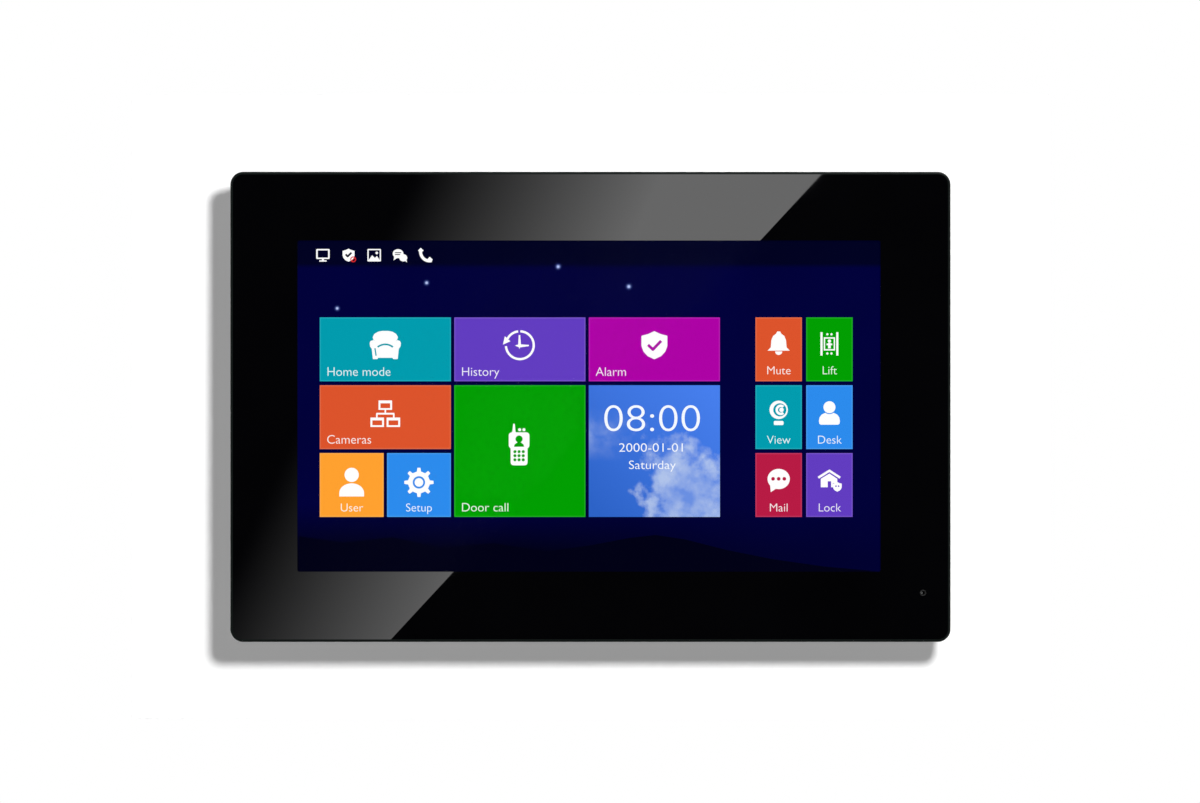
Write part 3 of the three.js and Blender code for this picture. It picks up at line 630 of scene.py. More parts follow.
def jack_contacts():
    """Gold spring wires that lean into the socket of the network jack from its inner face."""
    low, high = box_mm("network_jack")
    middle = (low.x + high.x) / 2
    spring = [(high.y - JACK_WALL - lean, low.z + up) for lean, up in CONTACT_SIDE]
    mesh = bmesh.new()
    for i in range(CONTACTS):
        x = middle + (i - (CONTACTS - 1) / 2) * CONTACT_PITCH
        add_slab(mesh, [spring], x - CONTACT_WIDTH / 2, x + CONTACT_WIDTH / 2, at=sideways)
    look = metal("contact_gold", (0.83, 0.56, 0.2), 0.25, 4, 0.2, 0.002, 0.03)
    finish_mesh(mesh, "network_jack_contacts", "monitor", [look])


def wire_clamps():
    """The two leaves of the push-in clamp in each wire hole of the terminal block."""
    base = box_mm("terminal_block")[0].z + CLAMP_RISE
    mesh = bmesh.new()
    for number in range(1, TERMINALS + 1):
        low, high = box_mm(f"terminal_button_{number}")
        x = (low.x + high.x) / 2
        for side, apart in ((0, CLAMP_GAP / 2), (180, -CLAMP_GAP / 2)):
            start, end = (side + turn for turn in CLAMP_ENDS)
            leaf = arc(x, WIRE_HOLE_DEPTH + apart, CLAMP_RADIUS, start, end, 14)
            add_slab(mesh, [leaf], base, base + CLAMP_THICKNESS, at=upwards)
    look = metal("clamp_steel", (0.62, 0.62, 0.6), 0.3, 1, 0.2, 0.002, 0.04)
    finish_mesh(mesh, "terminal_clamps", "monitor", [look])


# ---- The lit picture: flat shapes in millimetres right of and below the window's upper left ----

PICTURE_BACK = box_mm("lcd_panel")[1].y + 0.04
PICTURE_MARGIN = 0.35
LAYER = 0.03
SHEET = LAYER * 0.6
BACKDROP, TILE_LAYER, RIM_LAYER, ICON_LAYER, CUT_LAYER = range(5)
GLOW = 1.03

TILE = 17.0
COLUMN_PITCH = 17.9
ROW_PITCH = 18.05
WIDE_TILE = TILE + COLUMN_PITCH
TALL_TILE = TILE + ROW_PITCH
TILES_LEFT = 5.65
TILES_TOP = 20.3
SIDE_TILE = 12.35
SIDE_PITCH = 13.5
SIDE_LEFT = 121.6
RIM = 0.3

WHITE = (255, 255, 255)
TEAL = (0, 155, 173)
PURPLE = (97, 60, 191)
MAGENTA = (172, 0, 164)
ORANGE = (219, 83, 43)
GREEN = (0, 157, 0)
AMBER = (254, 160, 47)
BLUE = (43, 138, 235)
CRIMSON = (182, 26, 67)
ALERT_RED = (214, 40, 40)
NIGHT = (0, 0, 57)
STATUS_NIGHT = (0, 1, 33)
DUSK = (0, 0, 10)
RIDGE_NIGHT = (0, 0, 20)
CLOCK_WHITE = (244, 248, 255)
SKY_SHADES = ((44, 98, 198), (70, 126, 236))
CLOUD_SHADES = ((118, 152, 228), (200, 216, 240))


def lit(name):
    """A look that gives its own light and mirrors none."""
    return Finish(
        name, Base_Color=(0, 0, 0), Roughness=0.9, Specular_IOR_Level=0.0, Emission_Strength=GLOW
    )


def glowing(name, colour):
    """One colour of the lit picture, with the slight unevenness of a backlight."""
    look = lit(name)
    tone = look.shaded(look.uneven(90, 0, 1, detail=1), linear(colour), 0.992, 1.008)
    return look.paint(Emission_Color=tone)


def picture_axes(look, right=0.0, down=0.0):
    """How far right of and below a point of the picture the surface is, in metres."""
    axes = look.axes(look.coordinates())
    return (
        look.maths("SUBTRACT", axes["X"], (WINDOW_LEFT + right) * MM),
        look.maths("SUBTRACT", (WINDOW_TOP - down) * MM, axes["Z"]),
    )


def picture_sheet(name, outline, layer, material):
    """A piece that is one outline in one layer of the picture."""
    mesh = bmesh.new()
    back = PICTURE_BACK + layer * LAYER
    add_slab(mesh, [outline], back + SHEET, back)
    finish_mesh(mesh, name, "monitor", [material])


class Picture:
    """Flat shapes of several colours that become one piece."""

    def __init__(self, name, layer):
        self.name = name
        self.mesh = bmesh.new()
        self.colours = []
        self.back = PICTURE_BACK + layer * LAYER

    def slot(self, colour):
        if colour not in self.colours:
            self.colours.append(colour)
        return self.colours.index(colour)

    def fill(self, colour, *loops, right=0.0, down=0.0, lift=0):
        """Fills an outline, with any holes after it. Its points are across and up from (right, down)."""
        back = self.back + lift * LAYER
        placed = [[(WINDOW_LEFT + right + x, WINDOW_TOP - down + y) for x, y in loop] for loop in loops]
        add_slab(self.mesh, placed, back + SHEET, back, self.slot(colour))

    def done(self):
        materials = [glowing(f"{self.name}_{n}", colour) for n, colour in enumerate(self.colours)]
        finish_mesh(self.mesh, self.name, "monitor", materials)


class Icon:
    """Draws one white symbol about its centre."""

    def __init__(self, picture, right, down, ground, size=1.0):
        self.picture = picture
        self.right = right
        self.down = down
        self.ground = ground
        self.size = size

    def shift(self, right, up):
        """Moves the centre."""
        self.right += right
        self.down -= up

    def draw(self, *loops, colour=WHITE, lift=0):
        scaled = [[(x * self.size, y * self.size) for x, y in loop] for loop in loops]
        self.picture.fill(colour, *scaled, right=self.right, down=self.down, lift=lift)

    def cut(self, *loops):
        """Draws in the ground's own colour, over what is there."""
        self.draw(*loops, colour=self.ground, lift=1)

    def line(self, points, width, colour=WHITE, lift=0):
        for outline in stroke(points, width):
            self.draw(outline, colour=colour, lift=lift)


def both_sides(half):
    """A closed outline from its right half, listed from the top down to the bottom."""
    return half + [(-x, y) for x, y in reversed(half)]


def armchair(icon):
    back = [(0.8, 3.8), (1.9, 3.6), (2.9, 3.0), (3.35, 2.2), (3.2, 1.5), (2.4, 0.9)]
    seat = [(2.3, 1.0), (3.2, 1.35), (3.9, 1.15), (4.15, 0.6), (4.05, -0.3), (3.6, -1.0),
            (3.3, -3.7), (2.1, -3.7), (1.9, -3.35)]
    icon.draw(both_sides(back))
    icon.draw(both_sides(seat))
    icon.cut(band(0, -3.0, 3.45, 3.0, 51, 129, 14))
    icon.line([(-2.75, -0.8), (-2.45, -2.8)], 0.35, icon.ground, 1)


def history_clock(icon):
    icon.draw(band(0, 0, 4.0, 3.4, -176, 88, 48))
    icon.draw(band(0, 0, 4.0, 3.4, 97, 152, 12))
    icon.draw([(-4.0, 2.4), (-2.5, 1.05), (-4.5, 0.15)])
    icon.draw([(-0.3, 2.7), (0.1, 2.7), (0.3, 0.1), (-0.1, -1.05), (-0.45, -0.1)])
    icon.draw([(-1.35, -0.1), (-0.3, 0.25), (2.4, 0.1), (2.4, -0.25), (-0.1, -0.6)])


def shield_outline(scale=1.0):
    right = [(0, 3.75), (1.6, 3.0), (3.45, 2.5), (3.45, -0.2), (2.9, -1.7), (1.8, -2.9), (0, -3.75)]
    left = [(-x, y) for x, y in reversed(right[1:-1])]
    return [(x * scale, y * scale) for x, y in right + left]


def shield(icon):
    icon.draw(shield_outline())
    icon.line([(-1.7, 0.1), (-0.4, -1.15), (1.8, 1.15)], 0.75, icon.ground, 1)


def network_tree(icon):
    for x, y in ((0, 2.1), (-2.15, -2.45), (2.15, -2.45)):
        outer = box(x - 1.8, y - 1.25, x + 1.8, y + 1.25)
        inner = box(x - 1.3, y - 0.8, x + 1.3, y + 0.5)
        icon.draw(outer, inner)
    icon.draw(box(-0.2, 0.0, 0.2, 0.9))
    icon.draw(box(-2.4, -0.4, 2.4, 0.05))
    for x in (-2.25, 2.25):
        icon.draw(box(x - 0.2, -1.2, x + 0.2, -0.2))


def person(icon):
    icon.shift(0, -0.35)
    icon.draw(disc(0, 1.95, 1.9))
    icon.draw(dome(0, -2.9, 3.3, 2.6))
    icon.draw(box(-3.3, -3.8, 3.3, -2.9))


def gear(icon):
    icon.shift(0, -0.4)
    outline = []
    teeth, root, tip = 8, 2.9, 3.9
    for tooth in range(teeth):
        middle = 360 / teeth * tooth
        for radius, turn in ((root, -15), (root, -11), (tip, -6), (tip, 6), (root, 11), (root, 15)):
            angle = math.radians(middle + turn)
            outline.append((radius * math.cos(angle), radius * math.sin(angle)))
    icon.draw(outline)
    icon.cut(disc(0, 0, 1.65), disc(0, 0, 1.15))


def walkie_talkie(icon):
    icon.shift(-0.2, 0.5)
    icon.draw([(-1.95, 2.8), (-1.55, 5.6), (-1.35, 5.85), (-1.15, 5.6), (-0.85, 2.8)])
    icon.draw(disc(0.15, 4.1, 0.42, 14))
    icon.draw(disc(1.3, 4.1, 0.42, 14))
    icon.draw(soft_box(-2.75, -0.9, 2.75, 3.4, 0.8))
    icon.draw(soft_box(-2.25, -5.4, 2.25, 0.2, 0.8))
    icon.cut(disc(0, 1.6, 0.95, 18))
    icon.cut([(-1.35, -0.45), (-1.2, 0.15), (-0.5, 0.7), (0.5, 0.7), (1.2, 0.15), (1.35, -0.45)])
    for row in range(3):
        for column in range(3):
            icon.cut(disc(-1.1 + 1.1 * column, -1.75 - 1.08 * row, 0.42, 12))


def bell(icon):
    icon.shift(0, 0.45)
    icon.draw([
        (-2.95, -1.9), (-2.1, -1.0), (-1.95, 0.9), (-1.5, 2.0), (-0.7, 2.6), (-0.4, 3.2),
        (0.4, 3.2), (0.7, 2.6), (1.5, 2.0), (1.95, 0.9), (2.1, -1.0), (2.95, -1.9),
    ])
    icon.draw(band(0, -2.1, 0.95, 0.0, 180, 360, 10))


def lift_cage(icon):
    icon.shift(0, 0.35)
    for side in (-1, 1):
        icon.draw(box(side * 2.1 - 0.28, -3.1, side * 2.1 + 0.28, 3.1))
        icon.draw(disc(side * 0.55, 2.55, 0.3, 12))
        icon.draw(disc(side * 0.55, -2.55, 0.3, 12))
    icon.draw(box(-1.5, -1.75, 1.5, 1.75), box(-1.15, -1.4, 1.15, 1.4))
    icon.draw(disc(0, 0.75, 0.45, 14))
    icon.draw(box(-0.35, -1.2, 0.35, 0.25))
    icon.draw(box(-0.75, -0.35, 0.75, 0.1))


def camera(icon):
    icon.draw(disc(0, 0.85, 2.45))
    icon.draw(soft_box(-1.3, -3.2, 1.3, -2.1, 0.35))
    icon.cut(disc(0.3, 0.85, 1.75))
    icon.draw(band(0.55, 0.85, 1.4, 0.75, 50, 310, 20), lift=2)
    icon.draw(disc(0.75, 0.85, 0.6, 16), lift=2)


def manager(icon):
    shoulders = [(1.1, 0.05), (2.0, -0.35), (2.6, -1.1), (2.8, -2.1), (2.7, -2.8), (2.3, -3.1)]
    icon.draw(both_sides(shoulders))
    icon.cut(disc(0, 1.55, 1.85))
    icon.draw(disc(0, 1.55, 1.6), lift=2)


def speech_bubble(icon):
    icon.shift(0, 0.1)
    icon.draw([(x * 1.1, y + 0.4) for x, y in disc(0, 0, 2.7)])
    icon.draw([(-2.3, -1.0), (-0.6, -2.1), (-2.1, -3.1)])
    for x in (-1.5, 0, 1.5):
        icon.cut(disc(x, 0.45, 0.5, 14))


def house(icon):
    icon.line([(-2.95, 0.85), (0, 2.7), (2.85, 0.85)], 0.6)
    icon.draw([(-2.3, 0.55), (0, 1.95), (2.1, 0.55), (2.1, -0.6), (0.9, -0.6), (0.9, -1.7), (-2.3, -1.7)])
    icon.cut(box(-0.45, -1.7, 0.45, -0.1))
    icon.draw([(x + 2.1, y - 1.6) for x, y in shield_outline(0.34)], lift=1)
    for x in (1.75, 2.45):
        icon.draw(disc(x, -1.4, 0.22, 10), colour=icon.ground, lift=2)


def screen_symbol(icon):
    icon.draw(soft_box(-1.95, -1.1, 1.95, 1.8, 0.3), soft_box(-1.5, -0.7, 1.5, 1.4, 0.1))
    icon.draw(box(-0.3, -1.5, 0.3, -1.0))
    icon.draw(box(-1.05, -1.85, 1.05, -1.5))


def guard_symbol(icon):
    icon.draw(shield_outline(0.5))
    icon.line([(-0.85, 0.25), (-0.25, -0.35), (0.85, 0.75)], 0.55, icon.ground, 1)
    icon.draw(band(1.35, -1.2, 0.85, 0.55, 0, 360, 20), colour=ALERT_RED, lift=2)
    icon.line([(0.9, -1.65), (1.8, -0.75)], 0.25, ALERT_RED, 2)


def picture_symbol(icon):
    icon.draw(soft_box(-1.95, -1.8, 1.95, 1.8, 0.25), box(-1.6, -1.45, 1.6, 1.45))
    icon.draw([(-1.6, -1.45), (-0.6, 0.0), (0.2, -0.8), (0.8, -0.2), (1.6, -1.45)])
    icon.draw(disc(0.75, 0.65, 0.4, 12))


def chat_symbol(icon):
    icon.draw([(x * 1.2 - 0.5, y + 0.45) for x, y in disc(0, 0, 1.3, 20)])
    icon.draw([(-1.6, -0.3), (-0.6, -0.7), (-1.8, -1.5)])
    icon.draw([(x * 1.1 + 1.0, y - 0.75) for x, y in disc(0, 0, 1.05, 20)])
    icon.draw([(1.2, -1.4), (1.9, -1.2), (2.1, -2.1)])
    icon.cut(box(-1.4, 0.6, 0.4, 0.85))
    icon.cut(box(-1.4, 0.05, 0.1, 0.3))


def phone_symbol(icon):
    icon.line([(x * 0.95 + 1.15, y + 1.05) for x, y in arc(0, 0, 2.7, 165, 285, 12)], 0.85)
    icon.line([(-1.75, 1.75), (-0.95, 0.95)], 1.15)
    icon.line([(0.85, -0.85), (1.75, -1.7)], 1.15)


STATUS_MARKS = (screen_symbol, guard_symbol, picture_symbol, chat_symbol, phone_symbol)
STATUS_LEFT = 6.5
STATUS_PITCH = 6.82
STATUS_DOWN = 3.75
STATUS_SIZE = 0.92


def status_icons():
    picture = Picture("screen_status_icons", ICON_LAYER)
    for number, mark in enumerate(STATUS_MARKS):
        right = STATUS_LEFT + STATUS_PITCH * number
        mark(Icon(picture, right, STATUS_DOWN, STATUS_NIGHT, STATUS_SIZE))
    picture.done()


def column(number):
    return TILES_LEFT + COLUMN_PITCH * number


def row(number):
    return TILES_TOP + ROW_PITCH * number


def side(number):
    return SIDE_LEFT + SIDE_PITCH * number


# left, top, width, height, colour, symbol, words
TILES = (
    (column(0), row(0), WIDE_TILE, TILE, TEAL, armchair, "Home mode"),
    (column(2), row(0), WIDE_TILE, TILE, PURPLE, history_clock, "History"),
    (column(4), row(0), WIDE_TILE, TILE, MAGENTA, shield, "Alarm"),
    (column(0), row(1), WIDE_TILE, TILE, ORANGE, network_tree, "Cameras"),
    (column(0), row(2), TILE, TILE, AMBER, person, "User"),
    (column(1), row(2), TILE, TILE, BLUE, gear, "Setup"),
    (column(2), row(1), WIDE_TILE, TALL_TILE, GREEN, walkie_talkie, "Door call"),
    (side(0), row(0), SIDE_TILE, TILE, ORANGE, bell, "Mute"),
    (side(1), row(0), SIDE_TILE, TILE, GREEN, lift_cage, "Lift"),
    (side(0), row(1), SIDE_TILE, TILE, TEAL, camera, "View"),
    (side(1), row(1), SIDE_TILE, TILE, BLUE, manager, "Desk"),
    (side(0), row(2), SIDE_TILE, TILE, CRIMSON, speech_bubble, "Mail"),
    (side(1), row(2), SIDE_TILE, TILE, PURPLE, house, "Lock"),
)
SKY_TILE = (column(4), row(1), WIDE_TILE, TALL_TILE)
RIM_PALER = 0.12
WORDS_PALER = 0.88
SYMBOL_RISE = 1.1
LABEL_SIZE = 3.35
NARROW_LABEL = 0.94
LABEL_INSET = 1.8
LABEL_BASE = 1.45
SIDE_TOP_RISE = 0.4
CLOCK_SHIFT = 0.6
# words, size, how far below the tile's top, how much wider, how much thinner
CLOCK_LINES = (
    ("08:00", 10.35, 12.3, 1.155, 0.15),
    ("2000-01-01", 3.3, 17.7, 1.17, 0.025),
    ("Saturday", 3.3, 22.3, 1.1, 0.025),
)


def paler(colour, share):
    return tuple(round(value + (255 - value) * share) for value in colour)


def tiles():
    picture = Picture("screen_tiles", TILE_LAYER)
    for left, top, width, height, colour, *_ in TILES:
        outer = box(0, -height, width, 0)
        inner = box(RIM, -height + RIM, width - RIM, -RIM)
        picture.fill(colour, inner, right=left, down=top)
        picture.fill(paler(colour, RIM_PALER), outer, inner, right=left, down=top)
    picture.done()


def tile_symbols():
    picture = Picture("screen_symbols", ICON_LAYER)
    for left, top, width, height, colour, symbol, _ in TILES:
        symbol(Icon(picture, left + width / 2, top + height / 2 - SYMBOL_RISE, colour))
    picture.done()


def add_words(mesh, words, size, right, down, align, slot, layer, stretch=1.0, thinner=0.025):
    """Adds words to a bmesh in Blender's own plain typeface, wider by stretch and with thinner strokes."""
    curve = bpy.data.curves.new("words", "FONT")
    curve.body = words
    curve.size = size * MM
    curve.align_x = align
    curve.offset = -thinner * MM
    curve.extrude = SHEET / 2 * MM
    curve.resolution_u = 6
    holder = add_object("words", curve)
    depth = PICTURE_BACK + layer * LAYER + SHEET / 2
    holder.location = place(WINDOW_LEFT + right, WINDOW_TOP - down, depth)
    holder.rotation_euler = (math.radians(90), 0, 0)
    holder.scale = (stretch, 1, 1)
    bpy.context.view_layer.update()
    flat = bpy.data.meshes.new_from_object(holder)
    flat.transform(holder.matrix_world)
    known = len(mesh.faces)
    mesh.from_mesh(flat)
    mesh.faces.ensure_lookup_table()
    for face in mesh.faces[known:]:
        face.material_index = slot
    bpy.data.objects.remove(holder)
    bpy.data.curves.remove(curve)
    bpy.data.meshes.remove(flat)


def tile_words():
    """Each tile's name, low at the left of a wide tile and low in the middle of a narrow one."""
    mesh = bmesh.new()
    shades = []
    for left, top, width, height, colour, _, words in TILES:
        pale = paler(colour, WORDS_PALER)
        if pale not in shades:
            shades.append(pale)
        base = top + height - LABEL_BASE
        right, size, align = left + LABEL_INSET, LABEL_SIZE, "LEFT"
        if width < WIDE_TILE:
            right, size, align = left + width / 2, LABEL_SIZE * NARROW_LABEL, "CENTER"
            base -= SIDE_TOP_RISE if top < row(1) else 0
        add_words(mesh, words, size, right, base, align, shades.index(pale), ICON_LAYER)
    materials = [glowing(f"screen_words_{n}", colour) for n, colour in enumerate(shades)]
    finish_mesh(mesh, "screen_words", "monitor", materials)


def clock_words():
    mesh = bmesh.new()
    left, top, width, _ = SKY_TILE
    middle = left + width / 2 - CLOCK_SHIFT
    for words, size, down, stretch, thinner in CLOCK_LINES:
        add_words(mesh, words, size, middle, top + down, "CENTER", 0, CUT_LAYER, stretch, thinner)
    look = glowing("screen_clock_white", CLOCK_WHITE)
    finish_mesh(mesh, "screen_clock", "monitor", [look])


def night_sky():
    """Backdrop of the picture: navy, darker under the status line and towards the low left."""
    look = lit("screen_night")
    across, down = picture_axes(look)
    status_line = look.remap(down, 6.0 * MM, 7.2 * MM, 1, 0)
    base = look.mix(status_line, linear(NIGHT), linear(STATUS_NIGHT))
    foot = look.remap(down, 70 * MM, 84 * MM, 0, 1)
    low_left = look.remap(across, 60 * MM, 150 * MM, 1, 0.25)
    base = look.mix(look.maths("MULTIPLY", foot, low_left), base, linear(DUSK))
    drift = look.uneven(40, 0.9, 1.1, detail=2)
    return look.paint(Emission_Color=look.mix(1.0, base, drift, "MULTIPLY"))


def backdrop():
    picture_sheet("screen_backdrop", window_outline(-PICTURE_MARGIN), BACKDROP, night_sky())


RIDGE = (
    (0, 78.5), (12, 80.2), (25, 78.8), (38, 81.5), (52, 80.4), (66, 82.6), (78, 80.9), (88, 79.0),
    (95, 78.2), (103, 79.4), (114, 82.2), (126, 84.6), (140, 86.6), (WINDOW_WIDTH, 87.9),
)


def hills():
    """A low dark ridge along the foot of the picture."""
    picture = Picture("screen_hills", TILE_LAYER)
    foot = WINDOW_HEIGHT + PICTURE_MARGIN * 0.9
    outline = [(right, -down) for right, down in RIDGE]
    picture.fill(RIDGE_NIGHT, outline + [(WINDOW_WIDTH, -foot), (0, -foot)])
    picture.done()


# right, down, size
STARS = ((69.1, 6.8, 0.5), (34.1, 11.1, 0.46), (87.9, 12.1, 0.52), (10.3, 17.9, 0.44))
# each disc of a star: colour, radius as a share of its size, steps
STAR_DISCS = (((16, 24, 76), 2.1, 20), ((70, 82, 142), 1.35, 18), ((176, 190, 232), 0.75, 14))


def stars():
    picture = Picture("screen_stars", RIM_LAYER)
    for right, down, size in STARS:
        for lift, (colour, share, steps) in enumerate(STAR_DISCS):
            picture.fill(colour, disc(0, 0, size * share, steps), right=right, down=down, lift=lift)
    picture.done()


def day_sky():
    """The clock tile: blue sky, a bank of cloud to the low right and a thin veil at the left."""
    left, top, width, height = SKY_TILE
    look = lit("screen_day_sky")
    from_left, from_top = picture_axes(look, left, top)
    across = look.remap(from_left, 0, width * MM, 0, 1)
    down = look.remap(from_top, 0, height * MM, 0, 1)
    slope = look.remap(look.maths("SUBTRACT", across, down), -0.9, 0.9, 0, 1)
    base = look.mix(slope, *(linear(colour) for colour in SKY_SHADES))
    puffs = look.noise(7, detail=6, roughness=0.6)
    billow = look.maths("MULTIPLY", look.maths("SUBTRACT", puffs, 0.5), 0.7)

    bank_side = look.remap(look.maths("ADD", across, billow), 0.40, 0.52, 0, 1)
    slant = look.maths("ADD", look.maths("MULTIPLY", across, -0.35), billow)
    bank_top = look.remap(look.maths("ADD", down, slant), 0.16, 0.34, 0, 1)
    bank = look.maths("MULTIPLY", look.maths("MULTIPLY", bank_side, bank_top), 0.72)

    veil_side = look.remap(look.maths("SUBTRACT", across, billow), 0.0, 0.34, 1, 0)
    veil_level = look.maths("ABSOLUTE", look.maths("SUBTRACT", down, 0.38))
    veil_spread = look.remap(veil_level, 0.0, 0.2, 1, 0)
    veil = look.maths("MULTIPLY", look.maths("MULTIPLY", veil_side, veil_spread), 0.4)

    cover = look.maths("MAXIMUM", bank, veil)
    cloud = look.mix(look.remap(puffs, 0.35, 0.65, 0, 1), *(linear(colour) for colour in CLOUD_SHADES))
    return look.paint(Emission_Color=look.mix(cover, base, cloud))


def sky_tile():
    left, top, width, height = SKY_TILE
    corner_x, corner_z = WINDOW_LEFT + left, WINDOW_TOP - top
    outline = box(corner_x, corner_z - height, corner_x + width, corner_z)
    picture_sheet("screen_sky_tile", outline, TILE_LAYER, day_sky())


# ---- Camera, lights and surroundings: places in metres, lens and sensor in millimetres ----

CAMERA_LENS = 100
SENSOR_WIDTH = 36
FRAME_WIDTH = 318.1 * MM
VIEW_CENTRE = Vector((2.53, 0, 1.42)) * MM
GLASS_PLANE = -GLASS_FRONT * MM
CAMERA_AWAY = FRAME_WIDTH * CAMERA_LENS / SENSOR_WIDTH

KEY_PLACE = (0.136, -0.677, 0.156)
KEY_RADIUS = 0.041
KEY_POWER = 18.5
# name, the way that the light comes from, strength
OBJECT_LIGHTS = (("top_light", (0.3, -0.35, 1.0), 1.5), ("rear_light", (0.85, 1.0, 0.8), 2.2))
OBJECT_LIGHT_SOFTNESS = 25

FLOOR_LEVEL = -0.35
FLOOR_EDGES = (-1.3, -3.6, 3.6, 1.3)
WALL_EDGES = (-0.125, -0.085, 0.125, 0.085)
WALL_BEHIND = 0.0008
# how slanting the view is when the wall starts to clear, and when it has gone
WALL_CLEARS = (0.68, 0.8)

CARD_AWAY = 1.3
# the card's straight end and size as they appear on the glass, in millimetres and degrees
CARD_END_X = 4.17
CARD_SLANT = 47.2
CARD_REACH = 140
CARD_BREADTH = 190
# the card's glow grows along this slant, between these ends
CARD_POWER = 3.3
FADE_SLANT = 24.7
FADE_ENDS = (-0.070, -0.0094)
FADE_CURVE = 1.6

# light from all round: none from in front, full from a little behind the object
DARK_TO_LIT = (-0.75, 0.15)
ROUND_LIGHT = 0.5


def unseen_by(made, *rays):
    """Hides an object from those kinds of ray."""
    for ray in rays:
        setattr(made, "visible_" + ray, False)


def camera_in_place():
    data = bpy.data.cameras.new("camera")
    data.lens = CAMERA_LENS
    data.sensor_width = SENSOR_WIDTH
    data.clip_start = 0.05
    data.clip_end = 50
    holder = add_object("camera", data)
    holder.location = VIEW_CENTRE + Vector((0, GLASS_PLANE - CAMERA_AWAY, 0))
    holder.rotation_euler = (math.radians(90), 0, 0)
    bpy.context.scene.camera = holder


def lamp(name, kind, strength):
    data = bpy.data.lights.new(name, kind)
    data.energy = strength
    return add_object(name, data)


def sun(name, source, strength, softness):
    """Even light from the way that source points, softness in degrees."""
    made = lamp(name, "SUN", strength)
    made.data.angle = math.radians(softness)
    made.rotation_euler = Vector(source).to_track_quat("Z", "Y").to_euler()
    return made


def leave_out(light, skipped):
    """Keeps a light off one object."""
    reach = bpy.data.collections.new(light.name + "_reach")
    reach.objects.link(skipped)
    reach.collection_objects[0].light_linking.link_state = "EXCLUDE"
    light.light_linking.receiver_collection = reach


def lights(plain_wall):
    """The key and the fill shape the shadow on the wall; the others light only the object and the floor.

    The key is near the object, so that its shadow is wider than the object itself.
    """
    key = lamp("key_light", "POINT", KEY_POWER)
    key.data.shadow_soft_size = KEY_RADIUS
    key.location = KEY_PLACE
    unseen_by(key, "camera", "glossy")
    unseen_by(sun("front_fill", (0.0, -1.0, 0.0), 0.85, 3.0), "glossy")
    for name, source, strength in OBJECT_LIGHTS:
        leave_out(sun(name, source, strength, OBJECT_LIGHT_SOFTNESS), plain_wall)


def sheet_of(name, corners, material):
    data = bpy.data.meshes.new(name)
    data.from_pydata([tuple(corner) for corner in corners], [], [tuple(range(len(corners)))])
    data.materials.append(material)
    made = add_object(name, data)
    return made


def floor():
    look = Finish("floor_pale", Emission_Strength=0.18, Emission_Color=(1, 1, 1))
    pale = look.paint(
        Base_Color=look.mix(look.uneven(260, 0, 1), (0.80, 0.80, 0.80), (0.86, 0.86, 0.86)),
        Roughness=look.uneven(3, 0.55, 0.7),
    )
    made = sheet_of("floor", [(x, y, FLOOR_LEVEL) for x, y in box(*FLOOR_EDGES)], pale)
    unseen_by(made, "diffuse", "glossy")


def wall():
    """The white wall close behind the object, for its shadow. It is clear from behind and from the side."""
    look = Finish("wall_white", Roughness=1.0, Specular_IOR_Level=0.0)
    look.paint(Base_Color=look.mix(look.noise(40, detail=4), (0.99, 0.99, 0.99), (1.0, 1.0, 1.0)))
    behind = look.node("ShaderNodeNewGeometry").outputs["Backfacing"]
    slant = look.remap(look.node("ShaderNodeLayerWeight").outputs["Facing"], *WALL_CLEARS, 0, 1)
    through = look.node("ShaderNodeBsdfTransparent").outputs[0]
    inputs = {0: look.maths("MAXIMUM", behind, slant), 1: look.shader.outputs[0], 2: through}
    white = look.show(look.node("ShaderNodeMixShader", inputs))
    made = sheet_of("wall", [(x, WALL_BEHIND, z) for x, z in box(*WALL_EDGES)], white)
    unseen_by(made, "diffuse", "glossy", "transmission", "shadow")
    return made


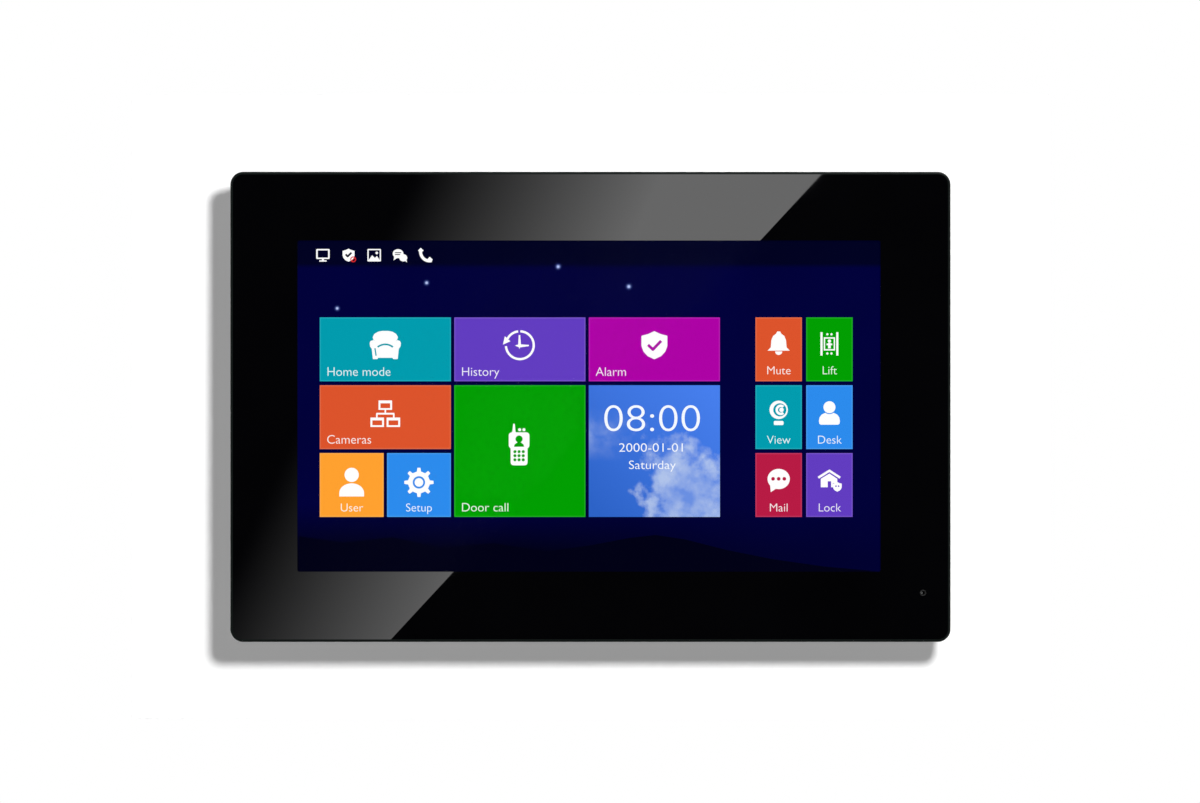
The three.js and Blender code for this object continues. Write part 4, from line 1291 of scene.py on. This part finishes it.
def studio_card():
    """A glowing card in front of the glass, whose straight end makes the slanting reflection.

    It is laid out as it appears on the glass, and spread by the mirror's magnification.
    """
    spread = 1 + CARD_AWAY / CAMERA_AWAY

    def mirrored(x, z):
        return Vector((
            VIEW_CENTRE.x + (x * MM - VIEW_CENTRE.x) * spread,
            GLASS_PLANE - CARD_AWAY,
            VIEW_CENTRE.z + (z * MM - VIEW_CENTRE.z) * spread,
        ))

    run = Vector((math.cos(math.radians(CARD_SLANT)), math.sin(math.radians(CARD_SLANT))))
    across = Vector((-run.y, run.x)) * CARD_BREADTH
    upper = Vector((CARD_END_X, 0)) + run * CARD_REACH
    lower = Vector((CARD_END_X, 0)) - run * CARD_REACH
    corners = [mirrored(*corner) for corner in (lower, upper, upper + across, lower + across)]

    look = Finish("studio_card")
    fade = math.radians(FADE_SLANT)
    position = look.node("ShaderNodeTexCoord").outputs["Object"]
    inputs = {0: position, 1: (math.cos(fade) / spread, 0, -math.sin(fade) / spread)}
    along = look.node("ShaderNodeVectorMath", inputs, operation="DOT_PRODUCT").outputs["Value"]
    level = look.maths("POWER", look.remap(along, *FADE_ENDS, 0, 1), FADE_CURVE)
    inputs = {"Color": (1, 1, 1), "Strength": look.maths("MULTIPLY", level, CARD_POWER)}
    glow = look.show(look.node("ShaderNodeEmission", inputs))
    unseen_by(sheet_of("studio_card", corners, glow), "camera", "diffuse", "shadow")


def surroundings():
    """White behind the object, dim all round it, and dark in front, where the glass looks."""
    world = bpy.data.worlds.new("studio")
    bpy.context.scene.world = world
    world.use_nodes = True
    world.node_tree.nodes.clear()
    sky = Nodes(world.node_tree)
    way = sky.axes(sky.node("ShaderNodeTexCoord").outputs["Generated"])
    dim = sky.remap(way["Y"], *DARK_TO_LIT, 0, ROUND_LIGHT, "SMOOTHSTEP")
    inputs = {
        0: sky.node("ShaderNodeLightPath").outputs["Is Camera Ray"],
        1: sky.node("ShaderNodeBackground", {"Strength": dim}).outputs[0],
        2: sky.node("ShaderNodeBackground", {"Color": (1, 1, 1)}).outputs[0],
    }
    both = sky.node("ShaderNodeMixShader", inputs)
    sky.node("ShaderNodeOutputWorld", {"Surface": both.outputs[0]})


# ---- Everything together ----

scene = bpy.context.scene
scene.view_settings.view_transform = "Standard"
scene.view_settings.look = "None"

camera_in_place()
surroundings()
floor()
lights(wall())
studio_card()

dress_cad_nodes()
border = glass_border()
pane = glass_window()
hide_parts("front_glass")
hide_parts("front_glass")
jack_contacts()
wire_clamps()

backdrop()
hills()
stars()
tiles()
sky_tile()
status_icons()
tile_symbols()
tile_words()
clock_words()
